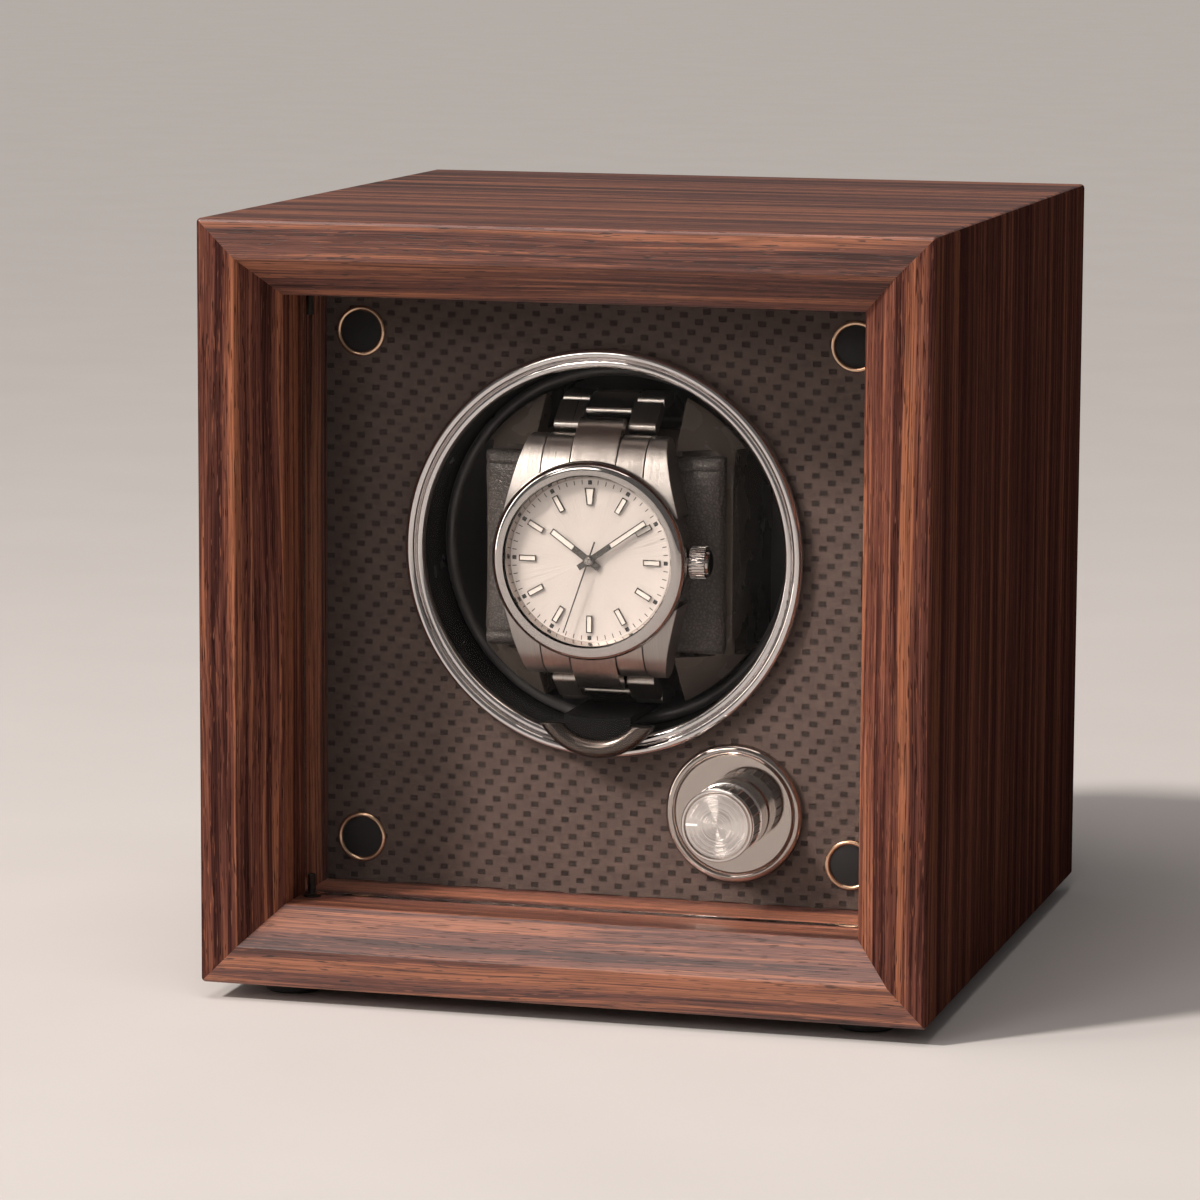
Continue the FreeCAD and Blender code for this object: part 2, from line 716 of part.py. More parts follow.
def screw_cap(x, z):
    """Domed black cap with a plug that fills the screw's counterbore."""
    crown = FASCIA_DEPTH - CAP_T
    fall = CAP_T - CAP_EDGE
    dome = Outline(0, crown, x, z).arc((CAP_R / 2, crown + fall / 4), (CAP_R, crown + fall))
    dome = dome.line(CAP_R, FASCIA_DEPTH).line(CAP_PLUG_R, FASCIA_DEPTH)
    return dome.line(CAP_PLUG_R, BOARD_FRONT + CAP_PLUG_L).line(0, BOARD_FRONT + CAP_PLUG_L).turn()


def trim_ring(x, z):
    """Half-round brass ring lying on the cloth round a cap."""
    inner = CAP_R + CAP_GAP
    middle = inner + TRIM_W / 2
    return Outline(inner, FASCIA_DEPTH, x, z).arc((middle, FASCIA_DEPTH - TRIM_RISE),
                                                  (inner + TRIM_W, FASCIA_DEPTH)).turn()


def flange_screws():
    circle = (FLANGE_R + HOUSING_OUT_R) / 2
    places = [round_place(circle, 45 + 90 * n) for n in range(4)]
    return [pan_screw(x, z, FASCIA_BACK + FLANGE_T, BOARD_FRONT + CAP_PLUG_L) for x, z in places]


def build_fascia():
    collar = HOUSING_R + COLLAR_WALL + COLLAR_GAP
    screws = [cap_screw(x, z) for x, z in CAP_PLACES]
    wells = [rod(CAP_PLUG_R + CAP_GAP, FASCIA_DEPTH, BOARD_FRONT + CAP_PLUG_L + WOOD_HEAD_H, x, z)
             for x, z in CAP_PLACES]
    through = [rod(collar, FASCIA_DEPTH, FASCIA_BACK),
               rod(THREAD_R + THREAD_GAP, FASCIA_DEPTH, FASCIA_BACK, KNOB_X, KNOB_Z)]
    reach = IN_X - FASCIA_GAP
    low = IN_Z0 + FASCIA_GAP
    high = IN_Z1 - FASCIA_GAP
    board = block(-reach, reach, BOARD_FRONT, FASCIA_BACK, low, high)
    save("fascia_board", cut_all(board, through + wells + screws + flange_screws()))
    cloth = block(-reach, reach, FASCIA_DEPTH, BOARD_FRONT, low, high)
    save("fascia_cloth", cut_all(cloth, through + wells))
    cleats = []
    for x0, x1 in ((-IN_X, -IN_X + CLEAT_W), (IN_X - CLEAT_W, IN_X)):
        cleat = block(x0, x1, FASCIA_BACK, FASCIA_BACK + CLEAT_D, IN_Z0, IN_Z1)
        cleats.append(cut_all(cleat, screws))
    save("fascia_cleats", *cleats)
    save("fascia_screws", *screws)
    save("screw_caps", *[screw_cap(x, z) for x, z in CAP_PLACES])
    save("trim_rings", *[trim_ring(x, z) for x, z in CAP_PLACES])


# Drum and drive

def drum_bezel():
    """Ring of two polished beads round the drum opening."""
    crest = FASCIA_DEPTH - BEZEL_RISE
    shoulder = crest + BEZEL_BEAD
    valley = BEZEL_R - 2 * BEZEL_BEAD
    inner_mid = (valley + HOUSING_R) / 2
    ring = Outline(BEZEL_R, FASCIA_DEPTH).line(BEZEL_R, shoulder)
    ring = ring.arc((BEZEL_R - BEZEL_BEAD, crest), (valley, shoulder))
    ring = ring.arc((inner_mid, shoulder - BEZEL_ROLL), (HOUSING_R, shoulder + BEZEL_STEP))
    return ring.line(HOUSING_R, FASCIA_DEPTH).turn()


def stub_places():
    return [round_place(STUB_CIRCLE, 45 + 90 * n) for n in range(4)]


def motor_screw_places():
    return [(MOTOR_X - MOTOR_SCREW_X, MOTOR_Z), (MOTOR_X + MOTOR_SCREW_X, MOTOR_Z)]


def drive_screws():
    """Pan-head screws of the housing flange, the drive plate, the motor and the control board."""
    flange = flange_screws()
    plate = [pan_screw(x, z, PLATE_BACK, WALL_FRONT - STUB_L + RUN_GAP) for x, z in stub_places()]
    motor = [pan_screw(x, z, PLATE_BACK, WALL_BACK - STUB_L) for x, z in motor_screw_places()]
    board = [pan_screw(x, z, BOARD_FACE, PANEL_FACE + PANEL_T / 2) for x, z in board_places()]
    return flange, plate, motor, board


def drum_housing(screws):
    collar = HOUSING_R + COLLAR_WALL
    body = Outline(HOUSING_R, FASCIA_DEPTH).line(collar, FASCIA_DEPTH).line(collar, FASCIA_BACK)
    body = body.line(FLANGE_R, FASCIA_BACK).line(FLANGE_R, FASCIA_BACK + FLANGE_T)
    body = body.line(HOUSING_OUT_R, FASCIA_BACK + FLANGE_T).line(HOUSING_OUT_R, WALL_BACK)
    body = body.line(BOSS_R, WALL_BACK).line(BOSS_R, BOSS_END)
    body = body.line(BUSH_R, BOSS_END).line(BUSH_R, WALL_FRONT)
    body = body.line(HOUSING_R, WALL_FRONT).turn()
    stubs = [rod(STUB_R, WALL_FRONT - STUB_L, WALL_FRONT, x, z) for x, z in stub_places()]
    return cut_all(joined([body] + stubs), screws)


def drum_cup():
    ease = CUP_WALL / 2
    back = CUP_FLOOR + CUP_FLOOR_T
    cup = Outline(CUP_IN_R, CUP_FLOOR).line(CUP_IN_R, CUP_RIM + ease)
    cup = cup.arc((CUP_IN_R + ease, CUP_RIM), (CUP_R, CUP_RIM + ease)).line(CUP_R, back)
    cup = cup.line(HUB_R, back).line(HUB_R, HUB_END).line(SHAFT_R, HUB_END).line(SHAFT_R, CUP_FLOOR)
    return cup.turn()


def shaft_bush(lip_start, start):
    bush = joined([rod(BUSH_LIP_R, lip_start, lip_start + BUSH_LIP_T), rod(BUSH_R, start, start + BUSH_L)])
    ends = max(lip_start + BUSH_LIP_T, start + BUSH_L)
    return bush.cut(rod(SHAFT_R + SHAFT_RUN, min(lip_start, start), ends))


def grooved_pulley(belt_radius, bore, hub_radius, x, z):
    """Pulley with a round groove that clears the belt all round."""
    groove = BELT_R + GROOVE_GAP
    rim = belt_radius + PULLEY_RIM
    half = math.sqrt(groove ** 2 - PULLEY_RIM ** 2)
    start = BELT_DEPTH - PULLEY_T / 2
    wheel = Outline(bore, PULLEY_HUB, x, z).line(hub_radius, PULLEY_HUB).line(hub_radius, start)
    wheel = wheel.line(rim, start).line(rim, BELT_DEPTH - half)
    wheel = wheel.arc((belt_radius - groove, BELT_DEPTH), (rim, BELT_DEPTH + half))
    return wheel.line(rim, PULLEY_END).line(bore, PULLEY_END).turn()


def drive_belt():
    path = open_belt(0, AXIS_Z, PULLEY_R, MOTOR_X, MOTOR_Z, MOTOR_PULLEY_R, BELT_DEPTH)
    run = path.Edges[0]
    section = Part.Wire(Part.makeCircle(BELT_R, run.Vertexes[0].Point, run.tangentAt(run.FirstParameter)))
    return path.makePipeShell([section], True, False)


def gear_motor(screws):
    gearbox = rod(GEARBOX_R, WALL_BACK - GEARBOX_L, WALL_BACK, MOTOR_X, MOTOR_Z)
    can = rod(CAN_R, WALL_BACK - GEARBOX_L - CAN_L, WALL_BACK - GEARBOX_L, MOTOR_X, MOTOR_Z)
    nose = rod(MOTOR_NOSE_R, WALL_BACK, WALL_BACK + MOTOR_NOSE_L, MOTOR_X, MOTOR_Z)
    nose_end = WALL_BACK + MOTOR_NOSE_L
    bore = rod(MOTOR_SHAFT_R + SHAFT_RUN, WALL_BACK - GEARBOX_L / 2 - SHAFT_RUN, nose_end, MOTOR_X, MOTOR_Z)
    return cut_all(joined([gearbox, can, nose]), [bore] + screws)


def drive_plate(screws):
    drum_end = STUB_CIRCLE + PLATE_EDGE
    motor_end = GEARBOX_R + PLATE_MOTOR_EDGE
    outline = open_belt(0, AXIS_Z, drum_end, MOTOR_X, MOTOR_Z, motor_end, WALL_BACK)
    plate = Part.Face(outline).extrude(V(0, PLATE_T, 0))
    holes = [rod(BOSS_R + PLATE_GAP, WALL_BACK, PLATE_BACK),
             rod(MOTOR_NOSE_R + PLATE_GAP, WALL_BACK, PLATE_BACK, MOTOR_X, MOTOR_Z)]
    return cut_all(plate, holes + screws)


def build_drive():
    flange, plate, motor, board = drive_screws()
    save("drum_bezel", drum_bezel())
    save("drum_housing", drum_housing(flange + plate))
    save("drive_screws", *(flange + plate + motor + board))
    save("drive_plate", drive_plate(plate + motor))
    save("gear_motor", gear_motor(motor))
    front_bush = shaft_bush(WALL_FRONT - BUSH_LIP_T, WALL_FRONT)
    rear_bush = shaft_bush(BOSS_END, BOSS_END - BUSH_L)
    save("shaft_bushes", front_bush, rear_bush)
    save("drum_cup", drum_cup())
    save("drum_shaft", rod(SHAFT_R, CUP_FLOOR, PULLEY_END))
    save("drum_pulley", grooved_pulley(PULLEY_R, SHAFT_R, HUB_R, 0, AXIS_Z))
    motor_hub = MOTOR_PULLEY_R - BELT_R
    save("motor_pulley", grooved_pulley(MOTOR_PULLEY_R, MOTOR_SHAFT_R, motor_hub, MOTOR_X, MOTOR_Z))
    save("motor_shaft", rod(MOTOR_SHAFT_R, WALL_BACK - GEARBOX_L / 2, PULLEY_END, MOTOR_X, MOTOR_Z))
    save("drive_belt", drive_belt())


# Knob and selector

def knob_rosette():
    rim_in = ROSETTE_R - 2 * ROSETTE_RIM
    crest = ROSETTE_FACE - ROSETTE_RIM_RISE
    disc = Outline(THREAD_R + THREAD_GAP, FASCIA_DEPTH, KNOB_X, KNOB_Z)
    disc = disc.line(THREAD_R + THREAD_GAP, ROSETTE_FACE).line(rim_in, ROSETTE_FACE)
    disc = disc.arc((ROSETTE_R - ROSETTE_RIM, crest), (ROSETTE_R, ROSETTE_FACE + ROSETTE_RIM_RISE))
    return disc.line(ROSETTE_R, FASCIA_DEPTH).turn()


def knob_body():
    lip = KNOB_R - KNOB_LIP
    seat = KNOB_TIP + KNOB_CAP_T
    cavity = NUT_FACE - KNOB_CAVITY_GAP
    bore_end = seat + KNOB_CAP_T
    body = Outline(0, seat, KNOB_X, KNOB_Z).line(lip, seat).line(lip, KNOB_TIP).line(KNOB_R, KNOB_TIP)
    body = body.line(KNOB_R, KNOB_REAR).line(KNOB_CAVITY_R, KNOB_REAR).line(KNOB_CAVITY_R, cavity)
    body = body.line(SWITCH_SHAFT_R, cavity).line(SWITCH_SHAFT_R, bore_end).line(0, bore_end).turn()
    flute = block(KNOB_X - FLUTE_W / 2, KNOB_X + FLUTE_W / 2, KNOB_TIP + FLUTE_START, KNOB_REAR - FLUTE_END,
                  KNOB_Z + KNOB_R - FLUTE_DEEP, KNOB_Z + KNOB_R + FLUTE_DEEP)
    step = 360 / KNOB_FLUTES
    return cut_all(body, [about_axis(flute, step * n, KNOB_X, KNOB_Z) for n in range(KNOB_FLUTES)])


def knob_cap():
    radius = KNOB_R - KNOB_LIP - CAP_GAP / 2
    cap = rod(radius, KNOB_TIP, KNOB_TIP + KNOB_CAP_T, KNOB_X, KNOB_Z)
    line = block(KNOB_X - radius, KNOB_X - radius + POINTER_L, KNOB_TIP, KNOB_TIP + POINTER_DEEP,
                 KNOB_Z - POINTER_W / 2, KNOB_Z + POINTER_W / 2)
    return cap.cut(line)


def build_knob():
    half = SWITCH_W / 2
    switch_end = FASCIA_BACK + SWITCH_L
    case = block(KNOB_X - half, KNOB_X + half, FASCIA_BACK, switch_end, KNOB_Z - half, KNOB_Z + half)
    thread = rod(THREAD_R, NUT_FACE, FASCIA_BACK, KNOB_X, KNOB_Z)
    shaft_end = FASCIA_BACK + SWITCH_L / 2
    bore = rod(SWITCH_SHAFT_R + SWITCH_RUN, NUT_FACE, shaft_end + RUN_GAP, KNOB_X, KNOB_Z)
    save("selector_switch", joined([case, thread]).cut(bore))
    save("selector_shaft", rod(SWITCH_SHAFT_R, KNOB_TIP + 2 * KNOB_CAP_T, shaft_end, KNOB_X, KNOB_Z))
    save("panel_nuts", hex_nut(NUT_FACE, KNOB_X, KNOB_Z), hex_nut(PANEL_FACE - NUT_T, INLET_X, INLET_Z))
    save("knob_rosette", knob_rosette())
    save("knob_body", knob_body())
    save("knob_cap", knob_cap())


# Electrics

def board_places():
    xs = (-BOARD_W / 2 + BOARD_HOLE_INSET, BOARD_W / 2 - BOARD_HOLE_INSET)
    zs = (BOARD_Z + BOARD_HOLE_INSET, BOARD_Z + BOARD_H - BOARD_HOLE_INSET)
    return [(x, z) for x in xs for z in zs]


def board_plug(x, z):
    return block(x - PLUG_W / 2, x + PLUG_W / 2, BOARD_FACE - PLUG_L, BOARD_FACE, z, z + PLUG_H)


def build_electrics():
    board_cuts = drive_screws()[3]
    board = block(-BOARD_W / 2, BOARD_W / 2, BOARD_FACE, PILLAR_FACE, BOARD_Z, BOARD_Z + BOARD_H)
    save("control_board", cut_all(board, board_cuts))
    pillars = [pipe(PILLAR_R, PAN_SHANK_R, PILLAR_FACE, PANEL_FACE, x, z) for x, z in board_places()]
    save("board_pillars", *pillars)
    middle = BOARD_Z + BOARD_H / 2
    chip = block(-CHIP_W / 2, CHIP_W / 2, BOARD_FACE - CHIP_T, BOARD_FACE, middle, middle + CHIP_H)
    can = rod(CAN_CAP_R, BOARD_FACE - CAN_CAP_L, BOARD_FACE, -PLUG_X, middle + CHIP_H)
    plugs = [board_plug(-PLUG_X, BOARD_Z), board_plug(0, BOARD_Z), board_plug(PLUG_X, BOARD_Z)]
    save("board_parts", chip, can, *plugs)
    save("power_inlet", power_inlet())

    run_z = IN_Z0 + LEAD_FLOOR_GAP + LEAD_R
    entry = BOARD_FACE - PLUG_L / 2
    can_mid = WALL_BACK - GEARBOX_L - CAN_L / 2
    motor_lead = lead([at(MOTOR_X, can_mid, MOTOR_Z - CAN_R), at(MOTOR_X, can_mid, run_z),
                       at(MOTOR_X, can_mid + CAN_L / 2, run_z), at(-PLUG_X, entry - CAN_L, run_z),
                       at(-PLUG_X, entry, run_z), at(-PLUG_X, entry, BOARD_Z)])
    switch_end = FASCIA_BACK + SWITCH_L
    switch_lead = lead([at(KNOB_X, switch_end, KNOB_Z), at(KNOB_X, switch_end + SWITCH_L, KNOB_Z),
                        at(KNOB_X, switch_end + 3 * SWITCH_L, run_z), at(0, entry - CAN_L, run_z),
                        at(0, entry, run_z), at(0, entry, BOARD_Z)])
    inlet_tail = PANEL_FACE + PANEL_T - INLET_L
    drop = INLET_Z - run_z
    inlet_lead = lead([at(INLET_X, inlet_tail, INLET_Z), at(INLET_X, entry - drop, INLET_Z),
                       at(INLET_X - drop, entry - drop, run_z), at(PLUG_X, entry, run_z),
                       at(PLUG_X, entry, BOARD_Z)])
    save("inner_leads", motor_lead, switch_lead, inlet_lead)


# Holder

def holder_cheek():
    """Right cheek: shoulders above and below a waist that carries the pad."""
    slope_end = SHOULDER_FRONT + SHOULDER_SLOPE
    plug = Outline(0, SHOULDER_FRONT).line(HOLDER_R - SHOULDER_RIM, SHOULDER_FRONT)
    plug = plug.line(HOLDER_R, slope_end).line(HOLDER_R, CUP_FLOOR).line(0, CUP_FLOOR).turn()
    reach = HOLDER_R + CUP_WALL
    side = block(CHANNEL_X, reach, SHOULDER_FRONT, CUP_FLOOR, AXIS_Z - reach, AXIS_Z + reach)
    low = AXIS_Z - PAD_FOOT - PAD_GAP
    high = AXIS_Z + PAD_TOP + PAD_GAP
    pocket = block(PAD_X, reach, SHOULDER_FRONT, CUP_FLOOR, low, high)
    front = block(0, reach, SHOULDER_FRONT, PAD_BACK, low, high)
    return cut_all(plug.common(side), [pocket, front])


def holder_core():
    core = block(-CHANNEL_X, CHANNEL_X, PAD_BACK, PAD_BACK + CORE_L, AXIS_Z - CORE_Z, AXIS_Z + CORE_Z)

    def long_edge(edge):
        ends = [vertex.Point for vertex in edge.Vertexes]
        return abs(ends[0].x - ends[-1].x) > CHANNEL_X

    return core.makeFillet(CORE_ROUND, edges_where(core, long_edge))


def pad_section(depth, inset):
    """Closed outline of the pad, with sides that draw in between the corners."""
    x = PAD_X - inset
    low = AXIS_Z - PAD_FOOT + inset
    high = AXIS_Z + PAD_TOP - inset
    middle = (low + high) / 2
    corners = [(-x, low), (x, low), (x, high), (-x, high)]
    middles = [(0, low + PAD_PULL), (x - PAD_PULL, middle), (0, high - PAD_PULL), (-x + PAD_PULL, middle)]
    spots = [at(x, depth, z) for x, z in corners]
    drawn = [at(x, depth, z) for x, z in middles]
    return Part.Wire([Part.Arc(spots[n], drawn[n], spots[(n + 1) % 4]).toShape() for n in range(4)])


def holder_pad():
    """Stuffed pad: drawn in at the back and rounded over to its crowned front."""
    sections = [pad_section(PAD_BACK, PAD_PULL)]
    for n in range(PAD_STEPS + 1):
        turn = math.radians(90 * n / PAD_STEPS)
        depth = PAD_FRONT + PAD_CROWN * (1 - math.sin(turn))
        sections.append(pad_section(depth, PAD_ROUND * (1 - math.cos(turn))))
    return Part.makeLoft(sections, True, True)


def pull_lip():
    """Half-moon lip under the watch, on a tongue that lies along the cup wall."""
    foot = AXIS_Z - BEZEL_R + LIP_SHORT
    lip_back = FASCIA_DEPTH - BEZEL_RISE - LIP_GAP
    moon = rod(LIP_R, lip_back - LIP_T, lip_back, 0, foot + LIP_R)
    moon = moon.common(block(-LIP_R, LIP_R, lip_back - LIP_T, lip_back, foot, foot + LIP_H))

    def front_arc(edge):
        is_arc = edge.Curve.TypeId == "Part::GeomCircle"
        return is_arc and edge.CenterOfMass.y < FRONT + lip_back - LIP_T / 2

    moon = moon.makeFillet(LIP_EASE, edges_where(moon, front_arc))
    outer = TONGUE_R + TONGUE_THICK
    tongue = pipe(outer, TONGUE_R, lip_back - LIP_T / 2, lip_back + TONGUE_L)
    tongue = tongue.common(block(-TONGUE_X, TONGUE_X, 0, CASE_D, AXIS_Z - outer, AXIS_Z - outer / 2))
    return joined([moon, tongue])


def build_holder():
    cheek = holder_cheek()
    save("holder_cheeks", cheek, mirror_x(cheek))
    save("holder_core", holder_core())
    save("holder_pad", holder_pad())
    save("pull_lip", pull_lip())


# Watch

def side_profile():
    """Side view of the watch case, extruded over its width: the lugs fall away behind."""
    half_way = (LUG_SHOULDER_Z + LUG_Z) / 2
    upper = [(CASE_FRONT, LUG_SHOULDER_Z), (CASE_FRONT + LUG_FALL, half_way), (LUG_TIP - LUG_THICK, LUG_Z),
             (LUG_TIP, LUG_Z - LUG_NIB), (CASE_REAR, LUG_SHOULDER_Z + LUG_THICK)]
    lower = [(d, -z) for d, z in reversed(upper)]
    return prism_x([(d, AXIS_Z + z) for d, z in upper + lower], -CASE_R, CASE_R)


def watch_case():
    side = side_profile()
    upper = [(LUG_ROOT_X, LUG_ROOT_Z), (LUG_X, LUG_Z), (-LUG_X, LUG_Z), (-LUG_ROOT_X, LUG_ROOT_Z)]
    outline = upper + [(-x, -z) for x, z in upper]
    lugs = prism_y([(x, AXIS_Z + z) for x, z in outline], CASE_FRONT, LUG_TIP)
    notch = end_link_space()
    lugs = cut_all(lugs.common(side), [notch, mirror_z(notch)])
    barrel = rod(CASE_R, CASE_FRONT, CASE_REAR)
    bore = rod(DIAL_R + CASE_BORE_GAP, CASE_FRONT, CASE_REAR)
    stem = Part.makeCylinder(STEM_R + HAND_RUN, CASE_R, at(0, CROWN_DEPTH, AXIS_Z), V(1, 0, 0))
    back = rod(BACK_R + LINK_GAP, CASE_REAR, LUG_TIP)
    return cut_all(joined([barrel, lugs]), [bore, stem, back])


def mirror_z(shape):
    return shape.mirror(V(0, 0, AXIS_Z), V(0, 0, 1))


def end_link_space():
    half = BRACELET_W / 2 + LINK_GAP
    ring = rod(CASE_R, CASE_FRONT, LUG_TIP)
    return block(-half, half, CASE_FRONT, LUG_TIP, AXIS_Z, AXIS_Z + LUG_Z).cut(ring)


def end_link():
    half = BRACELET_W / 2
    ring = rod(CASE_R + LINK_GAP, CASE_FRONT, LUG_TIP)
    bar = block(-half, half, CASE_FRONT, LUG_TIP, AXIS_Z, AXIS_Z + LUG_Z - LINK_ROUND)
    return bar.common(side_profile()).cut(ring)


def watch_bezel():
    inner = CRYSTAL_R + BEZEL_SEAT
    front = CASE_FRONT - BEZEL_H + BEZEL_LAND
    ring = Outline(inner, CASE_FRONT).line(inner, front).line(inner + BEZEL_LAND, front)
    half = (inner + BEZEL_LAND + BEZEL_OUT_R) / 2
    ring = ring.arc((half + BEZEL_LAND, front + BEZEL_LAND), (BEZEL_OUT_R, CASE_FRONT - BEZEL_LAND))
    return ring.line(BEZEL_OUT_R, CASE_FRONT).turn()


def hand(length, width, drop, degrees, hub):
    """Tapered hand with a round hub and a bore that runs on the centre post."""
    face = CRYSTAL_DEPTH + drop
    half = width / 2
    outline = [(-half, -HAND_TAIL), (half, -HAND_TAIL), (half, length - width), (0, length), (-half, length - width)]
    blade = prism_y([(x, AXIS_Z + z) for x, z in outline], face, face + HAND_T)
    whole = joined([blade, rod(hub, face, face + HAND_T)]).cut(rod(HAND_BORE, face, face + HAND_T))
    return about_axis(whole, degrees)


def hour_markers():
    bar = block(-MARKER_W / 2, MARKER_W / 2, DIAL_FACE - MARKER_T, DIAL_FACE,
                AXIS_Z + MARKER_OUT - MARKER_L, AXIS_Z + MARKER_OUT)
    return [about_axis(bar, 30 * n) for n in range(12)]


def bracelet_loop():
    """Places (run, depth, z, heading) along the bracelet's ellipse, from the upper lug round the back
    to the lower lug."""
    first = math.pi - math.asin(LUG_Z / LOOP_Z)
    places = []
    run = 0.0
    for n in range(LOOP_STEPS + 1):
        turn = first - 2 * first * n / LOOP_STEPS
        ahead_d = LOOP_D * math.sin(turn)
        ahead_z = -LOOP_Z * math.cos(turn)
        places.append((run, LOOP_DEPTH + LOOP_D * math.cos(turn), LOOP_Z * math.sin(turn),
                       math.degrees(math.atan2(ahead_z, ahead_d))))
        run += math.hypot(ahead_d, ahead_z) * 2 * first / LOOP_STEPS
    return places


def place_at(loop, run):
    return min(loop, key=lambda place: abs(place[0] - run))


def link(x0, x1, thick, length, place, lift=0.0):
    """Bracelet link with rounded ends, set across the loop at a place."""
    depth, z, heading = place[1:]
    bar = block(x0, x1, depth - length / 2, depth + length / 2,
                AXIS_Z + z - thick / 2 + lift, AXIS_Z + z + thick / 2 + lift)
    across = edges_where(bar, lambda edge: abs(edge.Vertexes[0].Point.x - edge.Vertexes[-1].Point.x) > 1e-6)
    bar = bar.makeFillet(min(LINK_ROUND, thick * LINK_NOSE), across)
    bar.rotate(at(0, depth, AXIS_Z + z), V(1, 0, 0), heading)
    return bar


def build_bracelet():
    loop = bracelet_loop()
    length = loop[-1][0]
    count = int(length / LINK_PITCH)
    pitch = length / count
    bar = pitch - LINK_GAP
    half = BRACELET_W / 2
    inner = CENTRE_W / 2 + LINK_GAP
    outer = [place_at(loop, pitch * (n + 0.5)) for n in range(count)]
    outer_links = [end_link(), mirror_z(end_link())]
    for place in outer:
        outer_links.append(link(-half, -inner, LINK_T, bar, place))
        outer_links.append(link(inner, half, LINK_T, bar, place))
    save("bracelet_outer_links", *outer_links)
    centre = [place_at(loop, pitch * n) for n in range(1, count)]
    centre_half = CENTRE_W / 2
    save("bracelet_centre_links", *[link(-centre_half, centre_half, LINK_T, bar, place) for place in centre])
    first = (count - CLASP_LINKS) // 2
    lift = LINK_T / 2 + CLASP_GAP + CLASP_T / 2
    save("bracelet_clasp", *[link(-half, half, CLASP_T, bar, place, lift)
                             for place in outer[first:first + CLASP_LINKS]])


def build_watch():
    save("watch_case", watch_case())
    save("watch_bezel", watch_bezel())
    save("watch_crystal", rod(CRYSTAL_R, CRYSTAL_DEPTH, CRYSTAL_DEPTH + CRYSTAL_T))
    post = rod(HAND_BORE - HAND_RUN, CRYSTAL_DEPTH + SECONDS_DROP, DIAL_FACE)
    save("watch_dial", joined([rod(DIAL_R, DIAL_FACE, DIAL_FACE + DIAL_T), post]))
    save("hour_markers", *hour_markers())
    save("case_back", rod(BACK_R, CASE_REAR, BACK_FACE))
    save("hour_hand", hand(HOUR_L, HOUR_W, HOUR_DROP, HOUR_ANGLE, HAND_HUB_R))
    save("minute_hand", hand(MINUTE_L, MINUTE_W, MINUTE_DROP, MINUTE_ANGLE, HAND_HUB_R))
    save("seconds_hand", hand(SECONDS_L, SECONDS_W, SECONDS_DROP, SECONDS_ANGLE, SECONDS_HUB_R))
    crown = Part.makeCylinder(CROWN_R, CROWN_L, at(CROWN_X, CROWN_DEPTH, AXIS_Z), V(1, 0, 0))
    hole = Part.makeCylinder(STEM_R + HAND_RUN, CROWN_L / 2, at(CROWN_X, CROWN_DEPTH, AXIS_Z), V(1, 0, 0))
    save("winding_crown", crown.cut(hole))
    stem_reach = STEM_L + CROWN_L / 2 - HAND_RUN
    stem = Part.makeCylinder(STEM_R, stem_reach, at(CROWN_X - STEM_L, CROWN_DEPTH, AXIS_Z), V(1, 0, 0))
    save("crown_stem", stem)
    build_bracelet()


os.makedirs("parts", exist_ok=True)
build_case()
build_door()
build_fascia()
build_drive()
build_knob()
build_electrics()
build_holder()
build_watch()
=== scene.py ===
"""Watch winder box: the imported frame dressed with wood, cloth, steel and glass, on a pale studio floor."""

import json
import math
from contextlib import contextmanager

import bmesh
import bpy
from mathutils import Matrix, Vector


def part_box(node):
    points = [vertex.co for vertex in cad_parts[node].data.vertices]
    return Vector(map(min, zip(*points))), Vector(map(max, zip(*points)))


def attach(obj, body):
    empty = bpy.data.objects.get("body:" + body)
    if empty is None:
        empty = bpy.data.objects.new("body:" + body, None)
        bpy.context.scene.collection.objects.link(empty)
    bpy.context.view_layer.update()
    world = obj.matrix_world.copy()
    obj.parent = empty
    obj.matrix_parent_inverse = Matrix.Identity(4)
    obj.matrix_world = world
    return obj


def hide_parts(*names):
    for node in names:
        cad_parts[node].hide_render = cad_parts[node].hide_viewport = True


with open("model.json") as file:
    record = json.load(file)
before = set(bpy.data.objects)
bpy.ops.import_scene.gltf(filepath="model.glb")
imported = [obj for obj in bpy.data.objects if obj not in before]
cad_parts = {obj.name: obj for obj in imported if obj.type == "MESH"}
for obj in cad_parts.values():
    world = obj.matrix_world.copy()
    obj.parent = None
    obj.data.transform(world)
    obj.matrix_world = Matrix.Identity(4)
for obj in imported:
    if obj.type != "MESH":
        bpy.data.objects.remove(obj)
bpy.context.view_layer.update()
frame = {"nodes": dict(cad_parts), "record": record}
NODES = frame["nodes"]
RECORD = frame["record"]
BODY_OF = {node: body for body, nodes in RECORD["behaviour"]["bodies"].items() for node in nodes}
SLOT_OF = {part["node"]: part["material_slot"] for part in RECORD["subparts"]}

# Places taken from the frame, in metres

MM = 0.001


def centre_of(node):
    low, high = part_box(node)
    return (low + high) / 2


def front_of(node):
    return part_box(node)[0].y


def back_of(node):
    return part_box(node)[1].y


DRUM = centre_of("drum_bezel")
KNOB = centre_of("knob_cap")
CROWN = centre_of("winding_crown")
FASCIA_Y = front_of("fascia_cloth")
DIAL_Y = back_of("hour_markers")
CASE_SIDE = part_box("case_right")[1].x
CAP_X = 51.8 * MM
RING_R = 4.1 * MM
CAP_Z = (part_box("screw_caps")[0].z + RING_R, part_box("screw_caps")[1].z - RING_R)

# Sizes that only the looks need

